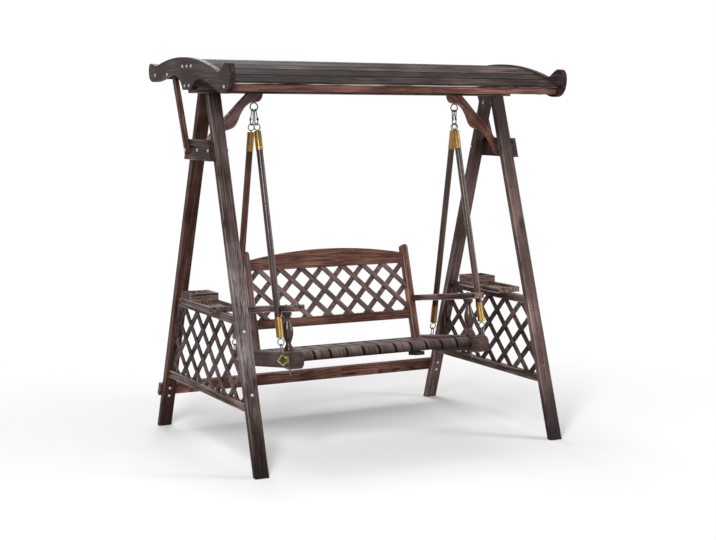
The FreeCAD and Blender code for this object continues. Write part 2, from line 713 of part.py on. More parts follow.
def build_frame():
    """Every piece that stands still."""
    fasteners = frame_fasteners()
    eyes = eye_bolt()
    shank = Part.makeCylinder(BOLT_RADIUS + BOLT_CLEARANCE, BEAM_TOP - SHELF_Z, Vec(HANG_X, 0, SHELF_Z))
    holes = [bolt_hole(item) for item in fasteners] + [shank, mirrored(shank)]
    pieces = {}

    def pair(name, shape):
        pieces[name + "_left"] = [shape]
        pieces[name + "_right"] = [mirrored(shape)]

    rear = leg()
    pair("leg_front", flipped(rear))
    pair("leg_rear", rear)
    pair("cross_plate", cross_plate())
    pieces["main_beam"] = [main_beam()]
    bracket = knee_bracket()
    pieces["knee_bracket_left"] = [mirrored(bracket)]
    pieces["knee_bracket_right"] = [bracket]
    pair("roof_end_board", end_board())
    pieces["roof_planks"] = roof_planks()
    pieces["roof_ribs"] = roof_ribs()
    pieces["roof_fascias"] = [fascia(FASCIA_FRONT_BACK, FASCIA_FRONT_BACK - FASCIA_THICKNESS),
                              fascia(FASCIA_REAR_BACK, FASCIA_REAR_BACK + FASCIA_THICKNESS)]
    pair("roof_strut", roof_strut())
    pieces["rear_stretcher"] = [rear_stretcher()]
    pair("side_lower_rail", side_rail(LOWER_RAIL_BOTTOM, LOWER_RAIL_HEIGHT))
    pair("side_upper_rail", side_rail(UPPER_RAIL_BOTTOM, UPPER_RAIL_HEIGHT))
    stile = side_stile()
    stiles = [stile, flipped(stile)]
    pieces["side_stiles"] = stiles + [mirrored(piece) for piece in stiles]
    pair("tray", tray())
    for name, shapes in pieces.items():
        pieces[name] = [drilled(shape, holes) for shape in shapes]
    lattice = side_lattice()
    pieces["side_lattice_left"] = lattice
    pieces["side_lattice_right"] = [mirrored(slat) for slat in lattice]
    boards = cup_box()
    pieces["cup_box_left"] = boards
    pieces["cup_box_right"] = [mirrored(board) for board in boards]
    pieces["eye_bolts"] = eyes + [mirrored(piece) for piece in eyes]
    pieces["frame_bolts"] = [piece for item in fasteners for piece in bolt(item)]
    return pieces


# Hanging hardware
def hook_shape(wire, length, crown, base):
    """Sizes of a snap hook: bow centres, straight sides, and where the gate turns and closes."""
    span = length - crown - base - 4 * wire
    top = crown + wire
    low = base + wire
    tilt = math.asin((low - top) / span)
    out = Vec(0, math.cos(tilt), math.sin(tilt))
    down = Vec(0, math.sin(tilt), -math.cos(tilt))
    side = span * math.cos(tilt)
    crown_end = out * top
    return {"wire": wire, "span": span, "top": top, "low": low, "out": out, "down": down, "side": side,
            "nose": crown_end + down * GATE_NOSE,
            "stub": crown_end + down * (side - GATE_STUB)}


def hook_body(form):
    """Bent wire of a snap hook, from its nose over the crown and round the base to the gate's pin."""
    out = form["out"]
    other = Vec(0, -out.y, out.z)
    base_centre = Vec(0, 0, -form["span"])
    crown_right = out * form["top"]
    crown_left = other * form["top"]
    base_left = base_centre + other * form["low"]
    base_right = base_centre + out * form["low"]
    crown_top = Vec(0, 0, form["top"])
    base_low = base_centre - Vec(0, 0, form["low"])
    path = Part.Wire([
        Part.makeLine(form["nose"], crown_right),
        Part.Arc(crown_right, crown_top, crown_left).toShape(),
        Part.makeLine(crown_left, base_left),
        Part.Arc(base_left, base_low, base_right).toShape(),
        Part.makeLine(base_right, form["stub"]),
    ])
    ring = Part.Wire(Part.makeCircle(form["wire"], form["nose"], form["down"]))
    body = path.makePipeShell([ring], True, False)
    pin = gate_pin(form)
    reach = form["wire"] * 2
    bore = Part.makeCylinder(GATE_PIN + GATE_PIN_CLEARANCE, 2 * reach, pin - ALONG_X * reach, ALONG_X)
    return body.cut(bore)


def gate_pin(form):
    """Middle of the gate's pin, a little below the end of the stub."""
    return form["stub"] + form["down"] * (form["wire"] + 0.5)


def hook_gate(form):
    """Closed gate: a rod with a forked foot on its pin, drawn up Z and turned along the hook's side."""
    wire = form["wire"]
    inside = wire + GATE_SIDE_GAP
    outside = inside + GATE_CHEEK
    web = 2 * wire
    pin = gate_pin(form)
    tip = (form["nose"] - pin).Length - GATE_TIP_GAP
    half = wire - 0.3
    rod = Part.makeCylinder(wire - 0.4, tip - web, Vec(0, 0, web))
    bridge = block((-outside, outside), (-half, half), (web, web + GATE_WEB))
    cheek = block((inside, outside), (-half, half), (-half, web))
    axle = Part.makeCylinder(GATE_PIN, 2 * outside, Vec(-outside, 0, 0), ALONG_X)
    gate = rod.fuse([bridge, cheek, mirrored(cheek), axle]).removeSplitter()
    tilt = math.degrees(math.asin(form["down"].y))
    return turned(gate, tilt).translated(pin)


def placed_hook(shape, hang, gap_radius, crown, up):
    """Set a hook with its crown over a wire at hang, along a direction in the side plane."""
    lean = math.degrees(math.atan2(-up.y, up.z))
    moved = turned(shape.translated(Vec(0, 0, gap_radius - crown)), lean)
    return moved.translated(hang)


TOP_HOOK = hook_shape(TOP_HOOK_WIRE, TOP_HOOK_LENGTH, TOP_HOOK_CROWN, TOP_HOOK_BASE)
LOW_HOOK = hook_shape(LOW_HOOK_WIRE, LOW_HOOK_LENGTH, LOW_HOOK_CROWN, LOW_HOOK_BASE)
TOP_HOOK_INSIDE = TOP_HOOK_LENGTH - 4 * TOP_HOOK_WIRE
LOW_HOOK_INSIDE = LOW_HOOK_LENGTH - 4 * LOW_HOOK_WIRE
TOP_HANG_GAP = EYE_WIRE + TOP_LINK_GAP
LOW_HANG_GAP = POLE_EYE_WIRE + LINK_GAP
EYE_TO_POLE = POLE_EYE_RADIUS + POLE_EYE_WIRE + POLE_EYE_STEM


def pole_eye():
    """Ring on a short stem, drawn with the stem end at the origin and the ring above."""
    ring = Part.makeTorus(POLE_EYE_RADIUS, POLE_EYE_WIRE, Vec(0, 0, 0), ALONG_Y)
    ring = ring.translated(Vec(0, 0, EYE_TO_POLE))
    stem = Part.makeCylinder(POLE_EYE_STEM_RADIUS, POLE_EYE_STEM + POLE_EYE_WIRE)
    return ring.fuse(stem)


def ferrule():
    """Brass cup over a pole's end, drawn with its closed end at the origin and open downwards."""
    inside = POLE_RADIUS + FERRULE_FIT
    mouth = Vec(0, 0, -FERRULE_LENGTH)
    tube = Part.makeCylinder(inside + FERRULE_WALL, FERRULE_LENGTH, mouth)
    return tube.cut(Part.makeCylinder(inside, FERRULE_LENGTH - FERRULE_CAP, mouth))


def aimed(shape, place, up):
    """Copy of a piece drawn up Z, leaned in the side plane to point along up."""
    return turned(shape, math.degrees(math.atan2(-up.y, up.z))).translated(place)


def seat_eye_plate(turn, rail):
    """Rimmed diamond plate on edge, drawn with its hooked wire at the origin, on a foot at the rail."""
    half = EYE_PLATE_DIAGONAL / 2
    thick = EYE_PLATE_THICKNESS
    diamond = polygon(front_plane, [(half, 0), (0, half), (-half, 0), (0, -half)])
    plate = slab(diamond, ALONG_Y, -thick / 2, thick / 2)
    through = [edge for edge in plate.Edges if edge.BoundBox.YLength > thick / 2]
    plate = plate.makeFillet(EYE_PLATE_CORNER, through)
    inner = half - EYE_PLATE_RIM * math.sqrt(2)
    panel = polygon(front_plane, [(inner, 0), (0, inner), (-inner, 0), (0, -inner)])
    floor = thick / 2 - EYE_PLATE_RECESS
    plate = plate.cut([slab(panel, ALONG_Y, floor, thick), slab(panel, ALONG_Y, -thick, -floor)])
    plate = plate.cut(Part.makeCylinder(EYE_HOLE_RADIUS, 2 * thick, Vec(0, -thick, EYE_HOLE_RISE), ALONG_Y))
    plate.rotate(Vec(0, 0, 0), UP, turn)
    corner = Vec(half * math.cos(math.radians(turn)), half * math.sin(math.radians(turn)), 0)
    inside = block((rail, rail + half), (-half, half), (-half, half))
    neck = block((corner.x - EYE_NECK, rail), (corner.y - EYE_NECK / 2, corner.y + EYE_NECK / 2),
                 (-EYE_FOOT_HEIGHT / 3, EYE_FOOT_HEIGHT / 3))
    foot = block((rail - thick, rail), (corner.y - EYE_FOOT_WIDTH / 2, corner.y + EYE_FOOT_WIDTH / 2),
                 (-EYE_FOOT_HEIGHT / 2, EYE_FOOT_HEIGHT / 2))
    whole = plate.cut(inside).fuse([neck, foot]).removeSplitter()
    return whole.translated(UP * -(EYE_HOLE_RISE + EYE_HOLE_SLACK))


def hanging_set(front):
    """One pole at the left with its ferrules, eyes, hooks, gates and plate, on one line from the ring."""
    across = HANG_X - HOOK_SPLAY if front else HANG_X + HOOK_SPLAY
    bow = bench_point(-BOW_FRONT if front else BOW_REAR, -BOW_DROP)
    ring = Vec(0, 0, PIVOT_Z)
    up = (ring - bow).normalize()
    down = up * -1
    link = ring + down * (TOP_HOOK_INSIDE - TOP_HANG_GAP - LOW_HANG_GAP)
    top_end = link + down * (POLE_EYE_RADIUS + EYE_TO_POLE)
    hang = bow + up * (LOW_HOOK_WIRE + LOW_HOOK_INSIDE - LOW_HANG_GAP)
    low_end = hang + up * (POLE_EYE_RADIUS + EYE_TO_POLE)
    length = (top_end - low_end).Length - 2 * FERRULE_CAP
    top_hook = hook_body(TOP_HOOK)
    top_gate = hook_gate(TOP_HOOK)
    if front:
        top_hook = flipped(top_hook)
        top_gate = flipped(top_gate)
    plate = seat_eye_plate(-EYE_PLATE_TURN if front else EYE_PLATE_TURN, across - SEAT_RAIL_OUTER)
    parts = {
        "pole": [aimed(Part.makeCylinder(POLE_RADIUS, length), low_end + up * FERRULE_CAP, up)],
        "ferrules": [aimed(ferrule(), top_end, up), aimed(ferrule(), low_end, down)],
        "eyes": [aimed(pole_eye(), top_end, up), aimed(pole_eye(), low_end, down)],
        "top_hook": [placed_hook(top_hook, ring, TOP_HANG_GAP, TOP_HOOK_CROWN, up)],
        "top_gate": [placed_hook(top_gate, ring, TOP_HANG_GAP, TOP_HOOK_CROWN, up)],
        "low_hook": [placed_hook(hook_body(LOW_HOOK), hang, LOW_HANG_GAP, LOW_HOOK_CROWN, up)],
        "low_gate": [placed_hook(hook_gate(LOW_HOOK), hang, LOW_HANG_GAP, LOW_HOOK_CROWN, up)],
        "plate": [aimed(plate, bow, up)],
    }
    return {name: [piece.translated(ALONG_X * -across) for piece in shapes] for name, shapes in parts.items()}


def build_hangers():
    """Hooks, poles and their metalwork on both sides."""
    sets = {"front": hanging_set(True), "rear": hanging_set(False)}
    pieces = {}
    for name, parts in sets.items():
        for node, key in (("pole_", "pole"), ("hook_gate_top_", "top_gate"), ("hook_gate_low_", "low_gate")):
            pieces[node + name + "_left"] = parts[key]
            pieces[node + name + "_right"] = [mirrored(piece) for piece in parts[key]]
    for node, key in (("top_hooks", "top_hook"), ("lower_hooks", "low_hook"), ("pole_ferrules", "ferrules"),
                      ("pole_eyes", "eyes"), ("seat_eye_plates", "plate")):
        left = sets["front"][key] + sets["rear"][key]
        pieces[node] = left + [mirrored(piece) for piece in left]
    return pieces


# Bench, level
def seat_rail():
    """Left side rail with a scrolled front end."""
    centre = -SEAT_RAIL_FRONT + SCROLL_RADIUS
    low = -2 * SCROLL_RADIUS
    throat = centre + 1.25 * SCROLL_RADIUS
    side = outline(side_plane, (SEAT_RAIL_REAR, -SEAT_RAIL_HEIGHT), [
        ("line", (SEAT_RAIL_REAR, 0)),
        ("line", (centre, 0)),
        ("arc", (-SEAT_RAIL_FRONT, -SCROLL_RADIUS), (centre, low)),
        ("arc", (0.5 * (centre + throat), 0.6 * low - 0.4 * SEAT_RAIL_HEIGHT), (throat, -SEAT_RAIL_HEIGHT)),
        ("line", (SEAT_RAIL_REAR, -SEAT_RAIL_HEIGHT)),
    ])
    return slab(side, ALONG_X, -SEAT_RAIL_OUTER, -SEAT_RAIL_INNER)


def seat_outline(top_shift, reach_shift):
    """Corner points of the seat's curved surface, sunk by top_shift and drawn in by reach_shift."""
    centre = (-SLAT_FRONT + SLAT_NOSE_RADIUS, SLAT_CREST - SLAT_NOSE_RADIUS)
    radius = SLAT_NOSE_RADIUS - reach_shift
    diagonal = radius * math.sqrt(0.5)
    return {
        "hem": (-SLAT_FRONT + reach_shift, SLAT_CREST - SLAT_NOSE_DROP),
        "front": (centre[0] - radius, centre[1]),
        "bow": (centre[0] - diagonal, centre[1] + diagonal),
        "crest": (centre[0], SLAT_CREST - top_shift),
        "dip": ((SLAT_REAR + centre[0]) / 2, SLAT_DIP - top_shift),
        "rear": (SLAT_REAR, SLAT_REAR_TOP - top_shift),
    }


def seat_section():
    """Side outline of a slat: a waterfall front, a dip to sit in and a rise to the back."""
    top = seat_outline(0, 0)
    low = seat_outline(SLAT_THICKNESS, SLAT_THICKNESS)
    return outline(side_plane, top["hem"], [
        ("line", top["front"]),
        ("arc", top["bow"], top["crest"]),
        ("arc", top["dip"], top["rear"]),
        ("line", low["rear"]),
        ("arc", low["dip"], low["crest"]),
        ("arc", low["bow"], low["front"]),
        ("line", low["hem"]),
        ("line", top["hem"]),
    ])


def seat_slats():
    """Slats side by side between the rails, their upper edges rounded."""
    pitch = (2 * SEAT_RAIL_INNER + SLAT_GAP) / SLAT_COUNT
    slat = slab(seat_section(), ALONG_X, 0, pitch - SLAT_GAP)
    top = seat_outline(0, 0)
    corners = [side_plane(*top[name]) for name in ("hem", "front", "crest", "rear")]

    def on_top(vertex):
        return min((Vec(0, vertex.Y, vertex.Z) - corner).Length for corner in corners) < TOUCH

    sides = [edge for edge in slat.Edges if edge.BoundBox.XLength < TOUCH]
    upper = [edge for edge in sides if all(on_top(vertex) for vertex in edge.Vertexes)]
    slat = slat.makeFillet(SLAT_ROUND, upper)
    return [slat.translated(ALONG_X * (step * pitch - SEAT_RAIL_INNER)) for step in range(SLAT_COUNT)]


def seat_bearers():
    """Cross bearers between the rails, their tops cut to the underside of the slats."""
    low = seat_outline(SLAT_THICKNESS, SLAT_THICKNESS)
    under = outline(side_plane, low["crest"], [
        ("arc", low["dip"], low["rear"]),
        ("line", (SLAT_REAR, BEARER_BOTTOM)),
        ("line", (low["crest"][0], BEARER_BOTTOM)),
        ("line", low["crest"]),
    ])
    space = slab(under, ALONG_X, -SEAT_RAIL_INNER, SEAT_RAIL_INNER)
    bearers = []
    for y in (-BEARER_FRONT, (BEARER_REAR - BEARER_FRONT) / 2, BEARER_REAR):
        beam = block((-SEAT_RAIL_INNER, SEAT_RAIL_INNER), (y - BEARER_WIDTH / 2, y + BEARER_WIDTH / 2),
                     (BEARER_BOTTOM, 0))
        bearers.append(beam.common(space))
    return bearers


def seat_rear_rail():
    """Cross rail between the feet of the back posts."""
    rail = block((-POST_INNER, POST_INNER), (BACK_RAIL_INSET, BACK_RAIL_INSET + REAR_RAIL_DEPTH),
                 (-REAR_RAIL_DROP - REAR_RAIL_HEIGHT, -REAR_RAIL_DROP))
    return on_back(ease(rail, BOARD_EASE, POST_INNER))


def seat_stay():
    """Short stay under the front bearer, right of the middle, reaching forward to the slats."""
    front = -SLAT_FRONT + SLAT_THICKNESS
    return block((STAY_X - STAY_WIDTH / 2, STAY_X + STAY_WIDTH / 2), (front, front + STAY_LENGTH),
                 (BEARER_BOTTOM - STAY_HEIGHT, BEARER_BOTTOM))


def back_post():
    """Left post with a rounded top, drawn upright at the origin of the backrest."""
    middle = -POST_INNER - POST_WIDTH / 2
    radius = POST_WIDTH / 2
    foot = -SEAT_RAIL_HEIGHT / math.cos(math.radians(BACK_LEAN))
    face = outline(front_plane, (middle - radius, foot), [
        ("line", (middle - radius, POST_TOP - radius)),
        ("arc", (middle, POST_TOP), (middle + radius, POST_TOP - radius)),
        ("line", (middle + radius, foot)),
        ("line", (middle - radius, foot)),
    ])
    return on_back(slab(face, ALONG_Y, 0, POST_DEPTH))


def back_rails():
    """Arched top rail and plain lower rail between the posts."""
    shoulder = TOP_RAIL_BOTTOM + TOP_RAIL_END_HEIGHT
    arch = outline(front_plane, (-POST_INNER, TOP_RAIL_BOTTOM), [
        ("line", (-POST_INNER, shoulder)),
        ("arc", (0, shoulder + TOP_RAIL_ARCH), (POST_INNER, shoulder)),
        ("line", (POST_INNER, TOP_RAIL_BOTTOM)),
        ("line", (-POST_INNER, TOP_RAIL_BOTTOM)),
    ])
    depth = (BACK_RAIL_INSET, BACK_RAIL_INSET + BACK_RAIL_DEPTH)
    top = slab(arch, ALONG_Y, *depth)
    tall = (BACK_LOW_RAIL_BOTTOM, BACK_LOW_RAIL_BOTTOM + BACK_LOW_RAIL_HEIGHT)
    low = ease(block((-POST_INNER, POST_INNER), depth, tall), BOARD_EASE, POST_INNER)
    return on_back(top), on_back(low)


def back_lattice():
    """Two crossing layers of slats between the back rails."""
    top = TOP_RAIL_BOTTOM
    tall = (BACK_LOW_RAIL_BOTTOM + BACK_LOW_RAIL_HEIGHT, top)
    middle = BACK_RAIL_INSET + BACK_RAIL_DEPTH / 2
    slats = []
    for near, turn in ((middle - LATTICE_THICKNESS, -45), (middle, 45)):
        layer = block((-POST_INNER, POST_INNER), (near, near + LATTICE_THICKNESS), tall)
        slats += lattice_layer(layer, turn, top, POST_INNER, BACK_LATTICE_PITCH, BACK_LATTICE_SHIFT)
    return [on_back(slat) for slat in slats]


def arm(post):
    """Left arm with a rounded front end, notched round the back post."""
    outer = -ARM_INNER - ARM_WIDTH
    middle = -ARM_INNER - ARM_WIDTH / 2
    round_start = -ARM_FRONT + ARM_WIDTH / 2
    face = outline(floor_plane, (outer, ARM_BACK), [
        ("line", (outer, round_start)),
        ("arc", (middle, -ARM_FRONT), (-ARM_INNER, round_start)),
        ("line", (-ARM_INNER, ARM_BACK)),
        ("line", (outer, ARM_BACK)),
    ])
    board = on_bench(slab(face, UP, ARM_BOTTOM, ARM_BOTTOM + ARM_THICKNESS))
    inside = on_bench(block((-ARM_INNER, -SEAT_RAIL_INNER), (POST_FOOT, ARM_BACK),
                            (ARM_BOTTOM, ARM_BOTTOM + ARM_THICKNESS)))
    behind = inside.cut(on_back(block((-ARM_INNER, -SEAT_RAIL_INNER), (-ARM_BACK, 0), (0, POST_TOP))))
    return board.cut(post).cut(behind)


def baluster():
    """Left turned baluster between rail and arm."""
    tall = ARM_BOTTOM
    half = outline(front_plane, (0, 0), [
        ("line", (BALUSTER_FOOT, 0)),
        ("line", (BALUSTER_FOOT, 0.05 * tall)),
        ("curve", (0.78 * BALUSTER_FOOT, 0.11 * tall), (BALUSTER_NECK, 0.18 * tall),
         (0.72 * BALUSTER_BELLY, 0.30 * tall), (BALUSTER_BELLY, 0.48 * tall),
         (0.74 * BALUSTER_BELLY, 0.68 * tall), (BALUSTER_NECK, 0.84 * tall), (BALUSTER_COLLAR, 0.91 * tall)),
        ("line", (BALUSTER_COLLAR, tall)),
        ("line", (0, tall)),
        ("line", (0, 0)),
    ])
    return on_bench(half.revolve(Vec(0, 0, 0), UP, 360).translated(Vec(-BALUSTER_X, -BALUSTER_Y, 0)))


def bench_fasteners():
    """Two lags through each seat rail into its back post, and a bolt down through each arm and baluster."""
    arm_top = ARM_BOTTOM + ARM_THICKNESS
    head = bench_point(-BALUSTER_Y, arm_top)
    down = (bench_point(-BALUSTER_Y, 0) - head).normalize()
    items = []
    for x in (-BALUSTER_X, BALUSTER_X):
        grip = arm_top + SEAT_RAIL_HEIGHT
        items.append(fastener(Vec(x, head.y, head.z), down, grip, True, ARM_BOLT_TAIL))
    for drop in (0.22, 0.78):
        place = bench_point(POST_FOOT + POST_DEPTH * 0.24, -drop * SEAT_RAIL_HEIGHT)
        grip = SEAT_RAIL_WIDTH + POST_WIDTH * 0.8
        items.append(fastener(Vec(-SEAT_RAIL_OUTER, place.y, place.z), ALONG_X, grip, False))
        items.append(fastener(Vec(SEAT_RAIL_OUTER, place.y, place.z), ALONG_X * -1, grip, False))
    return items


def build_bench():
    """Seat, backrest and arms."""
    fasteners = bench_fasteners()
    holes = [bolt_hole(item) for item in fasteners]
    post = back_post()
    side = {"seat_rail": on_bench(seat_rail()), "back_post": post, "arm": arm(post)}
    pieces = {}
    for name, shape in side.items():
        pieces[name + "_left"] = [drilled(shape, holes)]
        pieces[name + "_right"] = [drilled(mirrored(shape), holes)]
    pieces["seat_slats"] = [on_bench(slat) for slat in seat_slats()]
    under = seat_bearers() + [seat_stay()]
    pieces["seat_bearers"] = [on_bench(timber) for timber in under] + [seat_rear_rail()]
    top, low = back_rails()
    pieces["back_top_rail"] = [top]
    pieces["back_lower_rail"] = [low]
    pieces["back_lattice"] = back_lattice()
    pieces["balusters"] = [drilled(piece, holes) for piece in (baluster(), mirrored(baluster()))]
    pieces["bench_bolts"] = [piece for item in fasteners for piece in bolt(item)]
    return pieces


def main():
    os.makedirs("parts", exist_ok=True)
    pieces = {**build_frame(), **build_hangers(), **build_bench()}
    for name, shapes in pieces.items():
        solids = [solid for shape in shapes for solid in shape.Solids]
        whole = solids[0] if len(solids) == 1 else Part.makeCompound(solids)
        whole.exportStep("parts/" + name + ".step")
    print(len(pieces), "nodes, swing axis at height", round(PIVOT_Z, 1))


main()
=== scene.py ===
# %% [markdown]
# A free-standing garden swing in charred, stained pine. Every board, ring and bolt is a solid of the
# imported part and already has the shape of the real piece. New meshes could be modelled over the solids,
# but they would add nothing, so this lesson is about finishes: how to make each board look sawn along its
# own length, how to light dark satin wood, and how to stand the camera where the photograph was taken.

# %% Load the swing
import itertools
import math
import bpy
from mathutils import Matrix, Vector


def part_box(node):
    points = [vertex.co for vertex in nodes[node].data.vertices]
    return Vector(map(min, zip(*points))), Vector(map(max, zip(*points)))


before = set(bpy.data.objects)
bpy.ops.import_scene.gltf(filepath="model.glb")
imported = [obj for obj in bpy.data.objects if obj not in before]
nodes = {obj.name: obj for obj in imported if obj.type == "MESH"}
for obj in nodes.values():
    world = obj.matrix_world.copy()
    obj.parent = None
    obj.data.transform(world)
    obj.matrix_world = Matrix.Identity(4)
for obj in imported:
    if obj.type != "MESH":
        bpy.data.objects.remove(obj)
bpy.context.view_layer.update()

# %% [markdown]
# All finishes here are node trees. They could be clicked together in the shader editor and copied out, but
# then each would be a page of settings and links. A tree is easier to read when each node is one line, so
# small helpers add a node, set its plain settings, and set or wire its inputs.


# %% Add a node
def plug(material, node, key, value):
    """Set an input of a node, or wire the output socket of another node into it."""
    socket = node.inputs[key]
    if isinstance(value, bpy.types.NodeSocket):
        material.node_tree.links.new(value, socket)
    else:
        socket.default_value = value


def add(material, kind, settings=None, **inputs):
    """A new shader node. An input is named as in the editor, or i0, i1 and so on by its place."""
    node = material.node_tree.nodes.new("ShaderNode" + kind)
    for name, value in (settings or {}).items():
        setattr(node, name, value)
    for key, value in inputs.items():
        plug(material, node, int(key[1:]) if key[1:].isdigit() else key.replace("_", " "), value)
    return node


def new_material(name):
    """A material and its main shader."""
    material = bpy.data.materials.new(name)
    material.use_nodes = True
    return material, material.node_tree.nodes["Principled BSDF"]


print("nodes can be added")

# %% [markdown]
# Most of the wear on this swing follows from where a point lies: how far up a leg, how near an edge, how
# far round the roof. Empties could give such distances, but the exported model would lose them. They are
# sums of numbers and places instead, with a short helper for each sum that is used more than once.


# %% Numbers and places
def math_node(material, operation, first, second=0.0, third=0.0):
    return add(material, "Math", {"operation": operation}, i0=first, i1=second, i2=third).outputs[0]


def fit(material, value, low, high, start=0.0, end=1.0):
    """Map the values between low and high onto start to end."""
    return add(material, "MapRange", None, Value=value, From_Min=low, From_Max=high,
               To_Min=start, To_Max=end).outputs[0]


def distance(material, first, second):
    """Root of the sum of two squares."""
    square = math_node(material, "MULTIPLY", second, second)
    return math_node(material, "SQRT", math_node(material, "MULTIPLY_ADD", first, first, square))


def object_place(material):
    return add(material, "TexCoord").outputs["Object"]


def vector_node(material, operation, first, second):
    return add(material, "VectorMath", {"operation": operation}, i0=first, i1=second).outputs[0]


def how_far(material, place, way):
    """How far a place lies along a direction."""
    return add(material, "VectorMath", {"operation": "DOT_PRODUCT"}, i0=place, i1=tuple(way)).outputs["Value"]


def length_of(material, vector):
    return add(material, "VectorMath", {"operation": "LENGTH"}, i0=vector).outputs["Value"]


print("sums of numbers and places ready")

# %% [markdown]
# Stain, wear and dirt lie over each other on a board. Each could be a shader of its own with Mix Shader
# nodes between, but one shader with a mixed colour is lighter to render and can be baked. So colours are
# mixed, multiplied by a shade, or picked from a ramp.


# %% Colours
def mix_colour(material, factor, first, second, blend="MIX"):
    settings = {"data_type": "RGBA", "blend_type": blend, "clamp_factor": True}
    return add(material, "Mix", settings, i0=factor, i6=first, i7=second).outputs[2]


def shaded(material, colour, shade):
    """A colour made darker or lighter by a shade of which 1 changes nothing."""
    return mix_colour(material, 1.0, colour, shade, "MULTIPLY")


def ramp(material, value, stops):
    """Colour ramp from a list of (place, colour)."""
    node = add(material, "ValToRGB", None, Fac=value)
    elements = node.color_ramp.elements
    while len(elements) < len(stops):
        elements.new(0.5)
    for element, (place, colour) in zip(elements, stops):
        element.position = place
        element.color = (*colour, 1)
    return node.outputs[0]


print("colours can be mixed")

# %% [markdown]
# Wood has a direction. A board shows long fibres and year rings along its length, so a pattern that
# runs the same way on every board looks printed. UV maps could carry the direction, but the solids have
# none. Each board here turns the Object coordinates with a Mapping node until its own length lies along
# X, and then every other node can be shared. The turn comes from a direction: its rows are the length and
# two directions across it.

# %% Turn a pattern along a board
ALONG_X = Vector((1, 0, 0))
ALONG_Y = Vector((0, 1, 0))
UP = Vector((0, 0, 1))
NEARLY_UPRIGHT = 0.9


def grain_turn(direction):
    """Euler turn that lays a direction along X."""
    length = Vector(direction).normalized()
    across = UP.cross(length) if abs(length.z) < NEARLY_UPRIGHT else ALONG_X.cross(length)
    across.normalize()
    return Matrix((length, across, length.cross(across))).to_euler("XYZ")


def laid_along(material, place, spot, way):
    return add(material, "Mapping", None, Vector=place, Location=tuple(spot), Rotation=grain_turn(way)).outputs[0]


print("turn of an upright board", [round(math.degrees(a)) for a in grain_turn(UP)])

# %% [markdown]
# The wood of this swing is pine that was scorched, brushed and stained. Scorching darkens the hard late wood of
# each year ring, brushing takes away some of the soft early wood between, and use rubs the stain to a grey-brown
# in streaks. One brown for all would be simpler, but the real boards took the stain unevenly: the rails are
# redder, the roof is greyer and the poles are lacquered. So a stain is three colours, how far rub and scorch go,
# and the gloss. Some also have a bare grey, the width of the painted shade along seams, the range of tones in a
# row of boards, how dark the first boards are, and a coat of lacquer.

# %% Stains
STAINS = {
    "brown": {
        "late": (0.007, 0.0042, 0.0038), "early": (0.083, 0.046, 0.038), "rubbed": (0.263, 0.204, 0.190),
        "rub": 0.66, "scorch": 0.75, "rough": 0.46, "shine": 0.10},
    "plain": {
        "late": (0.024, 0.0145, 0.0135), "early": (0.090, 0.050, 0.044), "rubbed": (0.235, 0.178, 0.168),
        "rub": 0.55, "scorch": 0.35, "rough": 0.44, "shine": 0.12},
    "weathered": {
        "late": (0.015, 0.0090, 0.0082), "early": (0.094, 0.055, 0.047), "rubbed": (0.325, 0.265, 0.252),
        "rub": 0.62, "scorch": 0.50, "rough": 0.48, "shine": 0.10, "grey": (0.381, 0.358, 0.364)},
    "red": {
        "late": (0.017, 0.0068, 0.0054), "early": (0.132, 0.054, 0.037), "rubbed": (0.280, 0.174, 0.143),
        "rub": 0.48, "scorch": 0.55, "rough": 0.44, "shine": 0.12},
    "roof": {
        "late": (0.012, 0.0080, 0.0068), "early": (0.073, 0.046, 0.038), "rubbed": (0.252, 0.202, 0.182),
        "rub": 0.60, "scorch": 0.45, "rough": 0.62, "shine": 0.05,
        "seam": 0.011, "boards": (0.65, 1.4), "first": 0.5},
    "slat": {
        "late": (0.036, 0.0240, 0.0225), "early": (0.080, 0.052, 0.047), "rubbed": (0.22, 0.18, 0.17),
        "rub": 0.42, "scorch": 0.30, "rough": 0.46, "shine": 0.12,
        "seam": 0.008, "boards": (0.85, 1.15), "first": 1.0},
    "pole": {
        "late": (0.010, 0.004, 0.003), "early": (0.069, 0.026, 0.017), "rubbed": (0.168, 0.090, 0.067),
        "rub": 0.35, "scorch": 0.50, "rough": 0.26, "shine": 0.18, "lacquer": 0.6},
}
STAINS["dull_pole"] = STAINS["pole"] | {"rough": 0.40, "lacquer": 0.1}
print("stains", list(STAINS))

# %% [markdown]
# Rows of equal boards, such as the roof planks and the seat slats, are one node each. Without a change from board
# to board they would look like one wide board with grooves. The node could be split into boards, but a board's
# number can also be worked out from where it lies: the slats by their place across the seat, the planks by their
# angle round the middle of the roof's curve. The number picks a tone and a fresh part of the tree, and what is
# left over after the number tells how far a point is from the seam, where painted shade darkens the board. The
# front edge of the roof has no board below it, so it counts as no seam.

# %% Number the boards in a row
SLATS = 11
SEAT_HALF = 0.514
SLAT_GAP = 0.006
SLAT_PITCH = (2 * SEAT_HALF + SLAT_GAP) / SLATS
PLANKS = 10
PLANK_GAP = 0.003
ROOF_RADIUS = 1.450
ROOF_MIDDLE_Y = 0.090
ROOF_MIDDLE_Z = 0.528
EAVE_AHEAD = 0.578
EAVE_BEHIND = 0.372
PLANK_FRONT = -math.asin(EAVE_AHEAD / ROOF_RADIUS)
PLANK_STEP = (math.asin(EAVE_BEHIND / ROOF_RADIUS) - PLANK_FRONT) / PLANKS
OUT_OF_REACH = 1.0


def number_and_seam(material, count, pitch, gap, free=0.0):
    """Whole part of a count of boards, and the distance in metres to the nearer seam."""
    number = math_node(material, "FLOOR", count)
    along = math_node(material, "MULTIPLY", math_node(material, "FRACT", count), pitch)
    rest = math_node(material, "SUBTRACT", pitch - gap, along)
    first = math_node(material, "MULTIPLY", math_node(material, "LESS_THAN", count, 1.0), free)
    return number, math_node(material, "MINIMUM", math_node(material, "ADD", along, first), rest)


